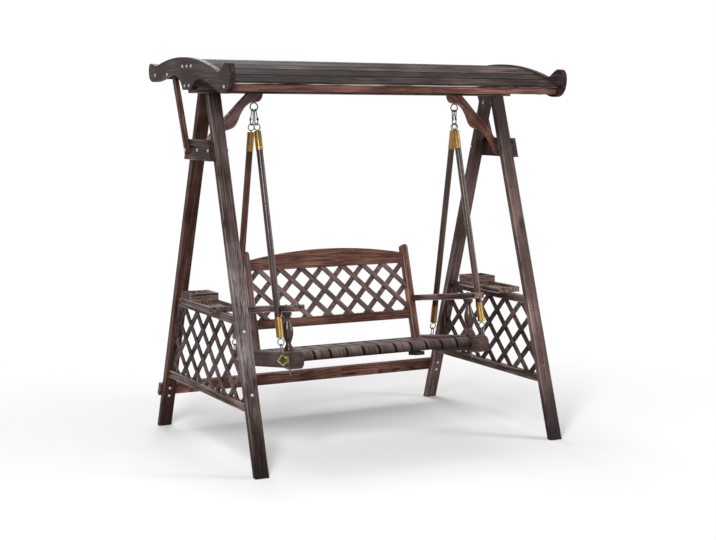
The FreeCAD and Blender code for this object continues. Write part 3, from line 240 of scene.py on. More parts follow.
def slat_row(material, place):
    across = math_node(material, "ADD", how_far(material, place, ALONG_X), SEAT_HALF)
    count = math_node(material, "DIVIDE", across, SLAT_PITCH)
    return number_and_seam(material, count, SLAT_PITCH, SLAT_GAP)


def roof_polar(material, place):
    """Angle from the front eave and distance from the middle of the roof's curve."""
    out = math_node(material, "SUBTRACT", how_far(material, place, ALONG_Y), ROOF_MIDDLE_Y)
    high = math_node(material, "SUBTRACT", how_far(material, place, UP), ROOF_MIDDLE_Z)
    angle = math_node(material, "SUBTRACT", math_node(material, "ARCTAN2", out, high), PLANK_FRONT)
    return angle, distance(material, out, high)


def plank_row(material, place):
    count = math_node(material, "DIVIDE", roof_polar(material, place)[0], PLANK_STEP)
    return number_and_seam(material, count, PLANK_STEP * ROOF_RADIUS, PLANK_GAP / 2, free=OUT_OF_REACH)


print("plank step", round(math.degrees(PLANK_STEP), 2), "degrees, slat pitch", round(SLAT_PITCH * 1000, 1), "mm")

# %% [markdown]
# Three things tell a pattern where it is on a board. The grain is a direction for one board, two directions for a
# lattice, whose two layers are told apart by a level between them, and a function for a bent board. A row of
# boards jumps to another part of the tree at each number. And every straight board is pale along its long edges,
# partly from wear and partly as a painted highlight: the board's vertices, turned into the grain's directions,
# give its width and thickness, and as a point on the surface already lies on one pair of sides, the larger of its
# distances from the two pairs is its distance from the nearest edge.

# %% Places in the grain
BOARD_JUMP = (1.73, 0.021, 0.017)


def two_layers(material, place, spot, grain):
    normal, level, below, above = grain
    upper = math_node(material, "GREATER_THAN", how_far(material, place, normal), level)
    first, second = [laid_along(material, place, spot, way) for way in (below, above)]
    return add(material, "Mix", {"data_type": "VECTOR"}, i0=upper, i4=first, i5=second).outputs[1]


def wood_coordinates(material, spot, grain, row):
    """Object coordinates laid along a board, and the board's number and distance to a seam in a row."""
    place = object_place(material)
    if callable(grain):
        laid = vector_node(material, "ADD", grain(material, place), tuple(spot))
    elif isinstance(grain, tuple):
        laid = two_layers(material, place, spot, grain)
    else:
        laid = laid_along(material, place, spot, grain)
    if row is None:
        return laid, None, None
    number, seam = row(material, place)
    jump = add(material, "VectorMath", {"operation": "SCALE"}, i0=BOARD_JUMP, Scale=number).outputs[0]
    return vector_node(material, "ADD", laid, jump), number, seam


def edge_distance(material, laid, spot, grain, mesh):
    """Distance in metres from the nearest long edge of a straight board."""
    turn = grain_turn(grain).to_matrix()
    points = [turn @ vertex.co for vertex in mesh.vertices]
    split = add(material, "SeparateXYZ", None, Vector=laid)
    inside = []
    for axis in (1, 2):
        low = min(point[axis] for point in points)
        high = max(point[axis] for point in points)
        off = math_node(material, "SUBTRACT", split.outputs[axis], (low + high) / 2 + spot[axis])
        inside.append(math_node(material, "SUBTRACT", (high - low) / 2, math_node(material, "ABSOLUTE", off)))
    return math_node(material, "MAXIMUM", *inside)


print("places in the grain ready")

# %% [markdown]
# The marks in the wood: year rings are a Wave texture in rings about the board's length, with the heart
# of the tree set outside the board. Fibres and streaks are Noise stretched along the board, and clouds are
# Noise left round. A picture of wood could give all this, but it would need a file and would repeat.
# A slow drift bends the rings and fibres together, so that no board looks ruled.

# %% Marks in the wood
RING_SCALE = 34.0
WAVE_RADIANS = 20.0
RING_WAVER = {"Distortion": 1.4, "Detail": 3.0, "Detail_Scale": 1.2}
DRIFT = (1.44, 8.0, 8.0)
SWAY = (0.05, 0.05, 0.05)
FIBRE = (9.0, 330.0, 330.0)
STREAK_ALONG = 2.8
STREAK_ACROSS = 72.0
CLOUD_SCALE = 4.5


def stretched(material, vector, scale, detail, roughness):
    return add(material, "TexNoise", None, Vector=vector_node(material, "MULTIPLY", vector, scale),
               Scale=1.0, Detail=detail, Roughness=roughness)


def wood_marks(material, laid, fine):
    """Rings, fibres, streaks and clouds as values from 0 to 1. A fine board has closer rings and streaks."""
    drift = stretched(material, laid, DRIFT, 2.0, 0.5).outputs["Color"]
    bent = vector_node(material, "ADD", laid, vector_node(material, "MULTIPLY", drift, SWAY))
    settings = {"wave_type": "RINGS", "rings_direction": "X", "wave_profile": "SAW"}
    rings = add(material, "TexWave", settings, Vector=bent, Scale=RING_SCALE * fine, **RING_WAVER)
    across = STREAK_ACROSS * fine
    return {
        "rings": rings.outputs["Fac"],
        "fibre": stretched(material, bent, FIBRE, 4.0, 0.65).outputs["Fac"],
        "streak": stretched(material, bent, (STREAK_ALONG, across, across), 5.0, 0.6).outputs["Fac"],
        "cloud": add(material, "TexNoise", None, Vector=laid, Scale=CLOUD_SCALE, Detail=3.0).outputs["Fac"],
    }


ring_width = 2 * math.pi / (WAVE_RADIANS * RING_SCALE)
print("year rings", round(ring_width * 1000, 1), "mm apart on a coarse board")

# %% [markdown]
# The stain's colours follow the marks. A colour ramp gives each ring its soft and hard wood, and fibres,
# streaks and clouds darken or lighten it. Rubbing starts where clouds and streaks are bright, and takes
# the soft wood first. Weathered wood has a bare grey stretch too, at the height where hands and rain
# reach the leg. Painting the wear by hand would fit one board only; this way it comes out new on each.

# %% Colour of a stained board
RINGS = {"early": 0.0, "middle": 0.55, "late": 0.86}
LATE_SHARE = 0.45
FIBRE_RANGE, FIBRE_SHADE = (0.3, 0.7), (0.4, 1.45)
STREAK_RANGE = (0.36, 0.64)
CLOUD_RANGE, CLOUD_SHADE = (0.35, 0.65), (0.75, 1.25)
RUB_CLOUD, RUB_STREAK, RUB_RANGE = 0.55, 0.75, (0.62, 0.86)
HARD_WOOD_KEEPS = 0.75
GREY_HEIGHT = 0.54
GREY_REACH, GREY_MOST = (0.16, 0.46), 0.78
GREY_FIBRE, GREY_CLOUD = (0.43, 0.62), (0.40, 0.60)


def toned(look, key, tone):
    return tuple(tone * part for part in look[key])


def stained(material, look, tone, marks):
    late, early = toned(look, "late", tone), toned(look, "early", tone)
    middle = tuple(LATE_SHARE * a + (1 - LATE_SHARE) * b for a, b in zip(late, early))
    stops = [(RINGS["early"], early), (RINGS["middle"], middle), (RINGS["late"], late), (1.0, early)]
    colour = ramp(material, marks["rings"], stops)
    deep = look["scorch"]
    colour = shaded(material, colour, fit(material, marks["fibre"], *FIBRE_RANGE, *FIBRE_SHADE))
    colour = shaded(material, colour, fit(material, marks["streak"], *STREAK_RANGE, 1 - deep, 1 + deep))
    colour = shaded(material, colour, fit(material, marks["cloud"], *CLOUD_RANGE, *CLOUD_SHADE))
    streaks = math_node(material, "MULTIPLY", marks["streak"], RUB_STREAK)
    rub = math_node(material, "MULTIPLY_ADD", marks["cloud"], RUB_CLOUD, streaks)
    hard = math_node(material, "MULTIPLY", marks["rings"], HARD_WOOD_KEEPS)
    soft = math_node(material, "SUBTRACT", 1.0, hard)
    rub = math_node(material, "MULTIPLY", fit(material, rub, *RUB_RANGE, 0.0, look["rub"]), soft)
    return mix_colour(material, rub, colour, (*toned(look, "rubbed", tone), 1))


def bare_grey(material, colour, look, spot, laid, marks):
    along = add(material, "SeparateXYZ", None, Vector=laid).outputs["X"]
    high = math_node(material, "ABSOLUTE", math_node(material, "SUBTRACT", along, GREY_HEIGHT + spot.x))
    band = fit(material, high, *GREY_REACH, GREY_MOST, 0.0)
    bare = math_node(material, "MULTIPLY", band, fit(material, marks["fibre"], *GREY_FIBRE))
    bare = math_node(material, "MULTIPLY", bare, fit(material, marks["cloud"], *GREY_CLOUD))
    return mix_colour(material, bare, colour, (*look["grey"], 1))


print("stained colours ready")

# %% [markdown]
# Each board of a row gets a tone of its own and painted shade along its seams. A White Noise node turns the
# board's number into an even chance, which is the same on every run. The first planks above the front eave are
# darker on the real roof. Straight boards get pale long edges, part wear and part painted highlight, broken up by
# the clouds.

# %% Boards of a row, painted shade at seams, and worn and highlit edges
FIRST_BOARDS = 4.0
SEAM_PAINTED_SHADE = 0.08
EDGE = 0.006
EDGE_MOST, EDGE_CLOUD, EDGE_PALE = 0.85, (0.38, 0.56), 1.3


def told_apart(material, colour, look, number, seam):
    chance = add(material, "TexWhiteNoise", {"noise_dimensions": "1D"}, W=number).outputs["Value"]
    value = fit(material, chance, 0.0, 1.0, *look["boards"])
    value = math_node(material, "MULTIPLY", value, fit(material, number, 0.0, FIRST_BOARDS, look["first"], 1.0))
    colour = add(material, "HueSaturation", None, Value=value, Color=colour).outputs[0]
    # Painted shade: the colour darkens towards each seam between the boards.
    return shaded(material, colour, fit(material, seam, 0.0, look["seam"], SEAM_PAINTED_SHADE, 1.0))


def worn_and_highlit_edges(material, colour, rubbed, away, cloud):
    line = fit(material, away, 0.0, EDGE, EDGE_MOST, 0.0)
    line = math_node(material, "MULTIPLY", line, fit(material, cloud, *EDGE_CLOUD))
    return mix_colour(material, line, colour, (*[EDGE_PALE * part for part in rubbed], 1))


print("seams as dark as", SEAM_PAINTED_SHADE, "of the board, edges", EDGE * 1000, "mm wide")

# %% [markdown]
# Marks that belong to one place: boards get lighter or darker along a direction, which on the bench is painted
# light and shade, the lower front edge of the first plank has a broken pale line of chipped stain and painted
# highlight, and the right front leg has a knot. These could be image masks, but a distance from a point or along
# a line does the same and needs no picture.

# %% Painted light, tone along a line, a pale eave and a knot
CHIP_DEPTH = 0.0045
CHIP_RADIUS = 1.4432
CHIP_STREAK = (0.47, 0.60)
CHIPPED_AND_HIGHLIT = (0.50, 0.47, 0.43)
KNOT_LONG = (0.45, 1.0, 1.0)
KNOT_CLOUD, KNOT_WAVER = (0.3, 0.7), (0.7, 1.3)
KNOT_EYE, KNOT_DARK = 0.3, 0.22


def painted_light_and_tone_along(material, way, stops):
    """Brightness along a direction, from stops of a place in metres and a brightness; on the bench it is painted
    light and shade.
    """
    along = how_far(material, object_place(material), way)
    first, last = stops[0][0], stops[-1][0]
    shares = [((at - first) / (last - first), (bright, bright, bright)) for at, bright in stops]
    return ramp(material, fit(material, along, first, last), shares)


def chipped_and_highlit_eave(material, streak):
    """Broken pale line along the lower front edge of the first plank: chipped stain, and a painted highlight."""
    angle, radius = roof_polar(material, object_place(material))
    front = math_node(material, "LESS_THAN", angle, CHIP_DEPTH / ROOF_RADIUS)
    low = math_node(material, "LESS_THAN", radius, CHIP_RADIUS)
    corner = math_node(material, "MULTIPLY", front, low)
    return math_node(material, "MULTIPLY", corner, fit(material, streak, *CHIP_STREAK))


def knot_shade(material, grain, knot, cloud):
    """Dark eye of a knot, longer along the board than across it."""
    centre, radius = knot
    off = vector_node(material, "SUBTRACT", object_place(material), tuple(centre))
    eye = vector_node(material, "MULTIPLY", laid_along(material, off, (0, 0, 0), grain), KNOT_LONG)
    waver = fit(material, cloud, *KNOT_CLOUD, *KNOT_WAVER)
    away = math_node(material, "MULTIPLY", length_of(material, eye), waver)
    return fit(material, away, KNOT_EYE * radius, radius, KNOT_DARK, 1.0)


print("chips_and_highlight", CHIP_DEPTH * 1000, "mm deep")

# %% [markdown]
# The finish puts these together for one board. Roughness and bump come from the same marks as the colour,
# so a bright streak is also a dry one. Bump is enough for the grain, which is too shallow to change an
# outline. The lacquer of the poles is the shader's own clear coat.

# %% Charred and stained wood
TREE_STEP = 0.37
HEART_Y, HEART_Y_STEP, HEART_Y_TURNS = 0.06, 0.013, 5
HEART_Z, HEART_Z_STEP, HEART_Z_TURNS = 0.045, 0.017, 3
ROUGH_RANGE, ROUGH_LESS, ROUGH_MORE = (0.3, 0.7), 0.08, 0.16
LACQUER_ROUGH = 0.10
RELIEF_RINGS, RELIEF_FIBRE = -0.5, 0.6
RELIEF = {"Strength": 0.35, "Distance": 0.0012}
board_numbers = itertools.count(1)


def next_spot():
    """Where the next board is cut from the tree, with the heart of the tree outside it."""
    number = next(board_numbers)
    return Vector((TREE_STEP * number, HEART_Y + HEART_Y_STEP * (number % HEART_Y_TURNS),
                   HEART_Z + HEART_Z_STEP * (number % HEART_Z_TURNS)))


def wood(name, mesh, stain, grain, tone, row=None, straight=False, fine=1.0, painted_light_and_tone=None, knot=None, chips_and_highlight=None):
    """Finish of one board, or of a row of boards told apart by a number."""
    spot = next_spot()
    look = STAINS[stain]
    material, shader = new_material(name)
    laid, number, seam = wood_coordinates(material, spot, grain, row)
    marks = wood_marks(material, laid, fine)
    colour = stained(material, look, tone, marks)
    if "grey" in look:
        colour = bare_grey(material, colour, look, spot, laid, marks)
    if row:
        colour = told_apart(material, colour, look, number, seam)
    # Pale long edges: wear, and a painted highlight along them.
    if straight:
        away = edge_distance(material, laid, spot, grain, mesh)
        colour = worn_and_highlit_edges(material, colour, toned(look, "rubbed", tone), away, marks["cloud"])
    if knot:
        colour = shaded(material, colour, knot_shade(material, grain, knot, marks["cloud"]))
    # Brightness along a direction: painted shade and painted light on the bench, a change of tone on the other
    # boards.
    if painted_light_and_tone:
        colour = shaded(material, colour, painted_light_and_tone_along(material, *painted_light_and_tone))
    # A broken pale line on the eave: chipped stain, and a painted highlight where the edge catches the light.
    if chips_and_highlight:
        colour = mix_colour(material, chips_and_highlight(material, marks["streak"]), colour, (*CHIPPED_AND_HIGHLIT, 1))
    plug(material, shader, "Base Color", colour)
    low, high = look["rough"] - ROUGH_LESS, look["rough"] + ROUGH_MORE
    plug(material, shader, "Roughness", fit(material, marks["streak"], *ROUGH_RANGE, low, high))
    plug(material, shader, "Specular IOR Level", look["shine"])
    plug(material, shader, "Coat Weight", look.get("lacquer", 0.0))
    plug(material, shader, "Coat Roughness", LACQUER_ROUGH)
    fibres = math_node(material, "MULTIPLY", marks["fibre"], RELIEF_FIBRE)
    height = math_node(material, "MULTIPLY_ADD", marks["rings"], RELIEF_RINGS, fibres)
    plug(material, shader, "Normal", add(material, "Bump", None, Height=height, **RELIEF).outputs[0])
    return material


print("finish ready")

# %% [markdown]
# Now each wooden node gets its stain and its own length. The legs lean, the bench is tipped back by
# eight degrees and the backrest leans further, so their directions are worked out from those angles.
# Levels that part the layers of a lattice, and the fronts of slats and rails, are read from the meshes.

# %% Directions and levels of the boards
LEG_RUN = 0.5805
LEG_RISE = 1.806
LEG_LEAN = math.atan(LEG_RUN / LEG_RISE)
BENCH_TILT = math.radians(8.0)
BACK_LEAN = math.radians(16.6)
SEAT_WAY = Vector((0, math.cos(BENCH_TILT), -math.sin(BENCH_TILT)))
BENCH_UP = Vector((0, math.sin(BENCH_TILT), math.cos(BENCH_TILT)))
BACK_UP = Vector((0, math.sin(BACK_LEAN), math.cos(BACK_LEAN)))
BACK_OUT = Vector((0, math.cos(BACK_LEAN), -math.sin(BACK_LEAN)))
FRONT_LEG = Vector((0, math.sin(LEG_LEAN), math.cos(LEG_LEAN)))
REAR_LEG = Vector((0, -math.sin(LEG_LEAN), math.cos(LEG_LEAN)))


def middle_of(name):
    low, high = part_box(name)
    return (low + high) / 2


def reach_of(name, way):
    """Lowest and highest place of a node along a direction."""
    places = [vertex.co.dot(way) for vertex in nodes[name].data.vertices]
    return min(places), max(places)


back_level = middle_of("back_lattice").dot(BACK_OUT)
nose_front = reach_of("seat_slats", SEAT_WAY)[0]
slat_top = reach_of("seat_slats", BENCH_UP)[1]
rail_front = reach_of("seat_rail_left", SEAT_WAY)[0]
print("seat slats reach from", round(nose_front, 3), "and lie at", round(slat_top, 3))

# %% [markdown]
# Every seat slat is rounded over at the front. With the plain grain, the rounding would cut through the
# rings and show a swirl like the end of a log. The real slats show lines that run over the front, so the
# places on the rounding are rolled out flat: the angle round its middle, times the radius, is the way
# along the slat.

# %% Grain over the seat's rounded front
NOSE_RADIUS = 0.040


def over_the_nose(material, place):
    """Places on a seat slat with its rounded front rolled out flat."""
    back = math_node(material, "SUBTRACT", how_far(material, place, SEAT_WAY), nose_front + NOSE_RADIUS)
    high = math_node(material, "SUBTRACT", how_far(material, place, BENCH_UP), slat_top - NOSE_RADIUS)
    behind = math_node(material, "MAXIMUM", back, 0.0)
    ahead = math_node(material, "SUBTRACT", behind, back)
    above = math_node(material, "MAXIMUM", high, 0.0)
    below = math_node(material, "SUBTRACT", above, high)
    bend = math_node(material, "ARCTAN2", ahead, above)
    straight = math_node(material, "SUBTRACT", behind, below)
    flat = math_node(material, "MULTIPLY_ADD", bend, -NOSE_RADIUS, straight)
    return add(material, "CombineXYZ", None, X=flat, Y=how_far(material, place, ALONG_X),
               Z=distance(material, ahead, above)).outputs[0]


print("rounding unrolls to", round(NOSE_RADIUS * math.pi / 2 * 1000), "mm")

# %% [markdown]
# Each wooden piece is one line: stain, grain, tone and what else it has. The tones and the lighter and darker
# stretches, some of them painted light and shade, were matched to the mean tone of each piece. One shared
# material would be shorter, but then all boards would be cut from the same stretch of the tree.

# %% Roof, beam and stretcher
STRAIGHT = {"straight": True}
FINE = {"straight": True, "fine": 2.2}
ROOF_DARKER_LEFT = (ALONG_X, ((-0.95, 0.36), (0.95, 1.0)))
FASCIA_DARKER_LEFT = (ALONG_X, ((-0.95, 0.55), (0.2, 0.9), (0.95, 1.0)))
wooden = {
    "main_beam": ("brown", ALONG_X, 1.0, STRAIGHT),
    "roof_planks": ("roof", ALONG_X, 1.6, {"row": plank_row, "chips_and_highlight": chipped_and_highlit_eave, "painted_light_and_tone": ROOF_DARKER_LEFT}),
    "roof_ribs": ("brown", ALONG_Y, 1.0, {}),
    "roof_fascias": ("red", ALONG_X, 1.6, {"fine": 1.4, "painted_light_and_tone": FASCIA_DARKER_LEFT}),
    "rear_stretcher": ("red", ALONG_X, 1.5, FINE),
    "side_stiles": ("brown", UP, 1.0, {}),
}
print("roof and beam", len(wooden))

# %% [markdown]
# Some light and shade on the bench is painted into its colour. Painted shade darkens the slats towards the foot
# of their rounded fronts, where light from above doesn't reach, and the rear layer of the back lattice behind the
# front one; the right baluster is painted paler than the left, as painted light. Lamps can't do that for single
# pieces, so it is part of the finish.

# %% Bench
# Painted shade on the slat fronts and the rear lattice layer, painted light on the right baluster.
NOSE_PAINTED_SHADES = ((-0.050, 0.08), (-0.034, 0.26), (-0.012, 0.75), (0.0, 1.0))
SLAT_PAINTED_SHADE = (BENCH_UP, tuple((slat_top + height, bright) for height, bright in NOSE_PAINTED_SHADES))
LAYER_STEP = 0.004
BACK_PAINTED_SHADE = (BACK_OUT, ((back_level - LAYER_STEP, 1.0), (back_level + LAYER_STEP, 0.55)))
BALUSTER_PAINTED_LIGHT = (ALONG_X, ((-0.55, 0.45), (0.55, 1.0)))
back_layers = (BACK_OUT, back_level, ALONG_X - BACK_UP, ALONG_X + BACK_UP)
wooden.update({
    "seat_slats": ("slat", over_the_nose, 2.4, {"row": slat_row, "painted_light_and_tone": SLAT_PAINTED_SHADE}),
    "seat_bearers": ("brown", ALONG_X, 0.8, {}),
    "back_top_rail": ("red", ALONG_X, 1.75, {"fine": 2.2}),
    "back_lower_rail": ("red", ALONG_X, 1.4, FINE),
    "back_lattice": ("slat", back_layers, 2.5, {"painted_light_and_tone": BACK_PAINTED_SHADE}),
    "balusters": ("pole", BENCH_UP, 1.5, {"painted_light_and_tone": BALUSTER_PAINTED_LIGHT}),
})
print("with the bench", len(wooden))

# %% [markdown]
# The legs were sawn from close-grained wood and each took the stain in its own way: the left front leg is
# weathered, the right front one is pale with a knot, and the left rear one is red. They are darker towards the
# ground, and the front ones also towards the top. A direction along the leg and a few stops give that.

# %% Legs
KNOT = (Vector((0.862, -0.291, 1.11)), 0.032)
LEFT_LEG_DARKER_ENDS = (FRONT_LEG, ((-0.18, 0.2), (0.05, 0.5), (0.2, 1.0), (0.9, 0.95), (1.7, 0.6)))
RIGHT_LEG_DARKER_ENDS = (FRONT_LEG, ((-0.18, 0.16), (0.05, 0.36), (0.2, 0.75), (0.45, 1.0),
                         (0.85, 0.8), (1.3, 0.58), (1.7, 0.34)))
REAR_LEG_DARKER_FOOT = (REAR_LEG, ((-0.18, 0.6), (0.2, 1.0), (1.7, 1.0)))
wooden.update({
    "leg_front_left": ("weathered", FRONT_LEG, 0.95, FINE | {"painted_light_and_tone": LEFT_LEG_DARKER_ENDS}),
    "leg_front_right": ("plain", FRONT_LEG, 2.0, FINE | {"painted_light_and_tone": RIGHT_LEG_DARKER_ENDS, "knot": KNOT}),
    "leg_rear_left": ("red", REAR_LEG, 0.62, FINE | {"painted_light_and_tone": REAR_LEG_DARKER_FOOT}),
    "leg_rear_right": ("plain", REAR_LEG, 1.3, FINE),
})
print("with the legs", len(wooden))

# %% [markdown]
# The two sides have the same pieces, so one function names both. They differ where the photograph does:
# the right knee bracket and back post are redder, the right tray and arm paler, and the front of the left
# seat rail is dark. The layers of the side lattices are swapped, because the sides mirror each other. A
# pole's direction comes from its box, which it crosses from corner to corner.

# %% Both sides and the poles
BOX_BOARD = 0.075
BRACKET_DROP = 0.8
STRUT_WAY = Vector((0, 0.43, 0.9))
RISING, FALLING = Vector((0, 1, 1)), Vector((0, 1, -1))
RAIL_DARK_FRONT = (SEAT_WAY, ((rail_front, 0.5), (rail_front + 0.03, 0.55), (rail_front + 0.05, 1.0)))
POLE_DARKER_TOP = (UP, ((0.6, 0.9), (1.3, 1.0), (1.43, 0.4), (1.65, 0.14)))
# The high tones of the knee brackets are painted light: they are made paler to make up for the roof's shadow on
# them.
SIDES = {
    "left": {"out": -1, "bracket": ("plain", 3.0), "layers": (FALLING, RISING), "tray": 1.2, "arm": 1.4,
             "rail": FINE | {"painted_light_and_tone": RAIL_DARK_FRONT}, "post": ("plain", 2.8),
             "front": ("pole", 0.65, {}), "rear": ("dull_pole", 2.7, {"painted_light_and_tone": POLE_DARKER_TOP})},
    "right": {"out": 1, "bracket": ("red", 2.2), "layers": (RISING, FALLING), "tray": 2.1, "arm": 2.1,
              "rail": FINE, "post": ("red", 1.55),
              "front": ("pole", 1.0, {}), "rear": ("pole", 1.0, {})},
}


def pole_way(end, side):
    low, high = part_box("pole_" + end + "_" + side)
    run = high - low
    return Vector((0, run.y if end == "front" else -run.y, run.z))


def boards_of(side, own):
    """Finishes of the boards on one side, from what is its own."""
    bracket, bracket_tone = own["bracket"]
    post, post_tone = own["post"]
    panel = (ALONG_X, middle_of("side_lattice_" + side).x, *own["layers"])
    pieces = {
        "cross_plate": ("brown", ALONG_Y, 0.75, STRAIGHT),
        "knee_bracket": (bracket, Vector((own["out"], 0, -BRACKET_DROP)), bracket_tone, {"fine": 1.8}),
        "roof_end_board": ("brown", ALONG_Y, 0.7, {}),
        "roof_strut": ("red", STRUT_WAY, 0.9, STRAIGHT),
        "side_lower_rail": ("brown", ALONG_Y, 1.3, STRAIGHT),
        "side_upper_rail": ("brown", ALONG_Y, 1.1, STRAIGHT),
        "side_lattice": ("brown", panel, 1.0, {}),
        "tray": ("brown", ALONG_Y, own["tray"], STRAIGHT),
        "cup_box": ("brown", (ALONG_Y, BOX_BOARD, ALONG_X, ALONG_Y), 1.8, {}),
        "seat_rail": ("plain", SEAT_WAY, 1.3, own["rail"]),
        "back_post": (post, BACK_UP, post_tone, STRAIGHT),
        "arm": ("brown", SEAT_WAY, own["arm"], STRAIGHT),
    }
    for end in ("front", "rear"):
        stain, tone, more = own[end]
        pieces["pole_" + end] = (stain, pole_way(end, side), tone, more)
    return {piece + "_" + side: finish for piece, finish in pieces.items()}


for side, own in SIDES.items():
    wooden.update(boards_of(side, own))
print("with both sides", len(wooden))

# %% [markdown]
# A node arrives with one plain material. That one could be changed, but it is shared, so the slot is
# cleared and filled with the board's own. The order of the pieces matters here, because each is cut from
# the next stretch of the tree.


# %% Finish the wooden pieces
def put_on(name, material):
    nodes[name].data.materials.clear()
    nodes[name].data.materials.append(material)


for name, (stain, grain, tone, more) in wooden.items():
    put_on(name, wood("wood_" + name, nodes[name].data, stain, grain, tone, **more))
print("finished", len(wooden), "wooden nodes")

# %% [markdown]
# Two of the metals change their shade within one node: the seat's plates are polished on their rims, and
# the bolts of the right front leg were stained over with the wood. The nodes could be cut up for that, but
# a mask worked out from the place of a point leaves them whole.

# %% Where a metal changes
PLATE_LEANS = ((1, Vector((0.5965, -0.3333, 0.4895)), Vector((0, 0.2615, 0.9652))),
               (-1, Vector((0.6115, 0.2281, 0.4112)), Vector((0, -0.1718, 0.9851))))
RIM_START = 0.0235
LEG_BOLTS_AHEAD = -0.12
LEG_BOLTS_RIGHT = 0.7


def plate_rim(material, place):
    """One on the rim of a diamond plate: a diamond is where the distances along two diagonals add up."""
    split = add(material, "SeparateXYZ", None, Vector=place)
    mirrored = add(material, "CombineXYZ", None, X=math_node(material, "ABSOLUTE", split.outputs["X"]),
                   Y=split.outputs["Y"], Z=split.outputs["Z"]).outputs[0]
    reach = []
    for hand, middle, lean in PLATE_LEANS:
        off = vector_node(material, "SUBTRACT", mirrored, tuple(middle))
        level = Vector((hand, lean.z, -lean.y)).normalized()
        along = [math_node(material, "ABSOLUTE", how_far(material, off, way)) for way in (level, lean)]
        reach.append(math_node(material, "ADD", *along))
    return math_node(material, "GREATER_THAN", math_node(material, "MINIMUM", *reach), RIM_START)


def right_front(material, place):
    """One at the bolts of the right front leg."""
    ahead = math_node(material, "LESS_THAN", how_far(material, place, ALONG_Y), LEG_BOLTS_AHEAD)
    right = math_node(material, "GREATER_THAN", how_far(material, place, ALONG_X), LEG_BOLTS_RIGHT)
    return math_node(material, "MULTIPLY", ahead, right)


print("rims start", RIM_START * 1000, "mm from the middle of a plate")

# %% [markdown]
# There are four metals: bright lacquered brass on the pole caps, dull brass on the seat's plates, zinc on
# the bolts and darkened steel on the rings and hooks. All are fully metallic, so the colour is that of
# the reflection. Even values would look like polished mirrors, so handling leaves soft blotches in the
# roughness and fine scratches in the surface.

# %% Brass, zinc and steel
BLOTCH_SCALE = 38.0
SCRATCH_SCALE = 900.0
SCRATCH_DEPTH = 0.0004
TARNISH_RANGE, TARNISH_MOST = (0.42, 0.72), 0.8
GLOSS_RANGE, GLOSS_LOST = (0.3, 0.7), 0.2
RIM_BRASS = (0.62, 0.52, 0.26)
STAINED_ZINC = (0.13, 0.095, 0.08)


def metal(name, colour, tarnish, gloss, scratch, patch=None):
    material, shader = new_material(name)
    place = object_place(material)
    blotch = add(material, "TexNoise", None, Vector=place, Scale=BLOTCH_SCALE, Detail=4.0).outputs["Fac"]
    fine = add(material, "TexNoise", None, Vector=place, Scale=SCRATCH_SCALE, Detail=3.0).outputs["Fac"]
    dull = fit(material, blotch, *TARNISH_RANGE, 0.0, TARNISH_MOST)
    face = mix_colour(material, dull, (*colour, 1), (*tarnish, 1))
    if patch:
        where, shade = patch
        face = mix_colour(material, where(material, place), face, (*shade, 1))
    plug(material, shader, "Base Color", face)
    plug(material, shader, "Roughness", fit(material, blotch, *GLOSS_RANGE, gloss, gloss + GLOSS_LOST))
    bump = add(material, "Bump", None, Height=fine, Strength=scratch, Distance=SCRATCH_DEPTH)
    plug(material, shader, "Normal", bump.outputs[0])
    plug(material, shader, "Metallic", 1.0)
    return material


brass = metal("brass", (0.34, 0.205, 0.064), (0.26, 0.155, 0.048), 0.26, 0.02)
old_brass = metal("old_brass", (0.11, 0.09, 0.035), (0.04, 0.033, 0.014), 0.34, 0.12, (plate_rim, RIM_BRASS))
zinc = metal("zinc", (0.46, 0.45, 0.43), (0.20, 0.185, 0.17), 0.26, 0.12, (right_front, STAINED_ZINC))
steel = metal("steel", (0.20, 0.195, 0.18), (0.06, 0.055, 0.05), 0.26, 0.12)
metals = {"pole_ferrules": brass, "seat_eye_plates": old_brass, "frame_bolts": zinc}
for name in nodes:
    if name not in wooden:
        put_on(name, metals.get(name, steel))
print("metal nodes", sorted(set(nodes) - set(wooden)))

# %% [markdown]
# The photograph has a white ground. More lamps could burn the ground out to white, but the wood would go
# pale with it. So the world is full white only to the camera and in reflections, and gives a quieter
# even light to everything else.

# %% Even white
AMBIENT = 0.5


def white_strength(owner):
    """Full strength to the camera and in reflections, less as light on the swing."""
    rays = add(owner, "LightPath")
    seen = math_node(owner, "MAXIMUM", rays.outputs["Is Camera Ray"], rays.outputs["Is Glossy Ray"])
    seen = math_node(owner, "MAXIMUM", seen, rays.outputs["Is Transmission Ray"])
    return fit(owner, seen, 0.0, 1.0, AMBIENT, 1.0)


world = bpy.data.worlds.new("studio")
bpy.context.scene.world = world
world.use_nodes = True
sky = world.node_tree.nodes["Background"]
plug(world, sky, "Color", (1, 1, 1, 1))
plug(world, sky, "Strength", white_strength(world))
print("even light", AMBIENT)

# %% [markdown]
# The floor keeps the swing's shadow. A plain floor turns grey far from the lamps and draws a horizon, so
# this one fades with distance into the same white: a mask made from the distance to the swing mixes the
# lit surface with white emission.

# %% Floor
FLOOR_SIZE = 60.0
FLOOR_PALE = 0.9
FLOOR_ROUGH = 0.9
FLOOR_NEAR = 1.2
FLOOR_FAR = 3.0
bpy.ops.object.select_all(action="DESELECT")
bpy.ops.mesh.primitive_plane_add(size=FLOOR_SIZE, location=(0, 0, 0))
floor = bpy.context.object
floor.name = "floor"
pale, pale_shader = new_material("pale_floor")
plug(pale, pale_shader, "Base Color", (FLOOR_PALE, FLOOR_PALE, FLOOR_PALE, 1))
plug(pale, pale_shader, "Roughness", FLOOR_ROUGH)
plug(pale, pale_shader, "Specular IOR Level", 0.0)
fade = fit(pale, length_of(pale, object_place(pale)), FLOOR_NEAR, FLOOR_FAR)
fade.node.interpolation_type = "SMOOTHSTEP"
white = add(pale, "Emission", None, Strength=white_strength(pale)).outputs[0]
blend = add(pale, "MixShader", None, i0=fade, i1=pale_shader.outputs[0], i2=white).outputs[0]
plug(pale, pale.node_tree.nodes["Material Output"], "Surface", blend)
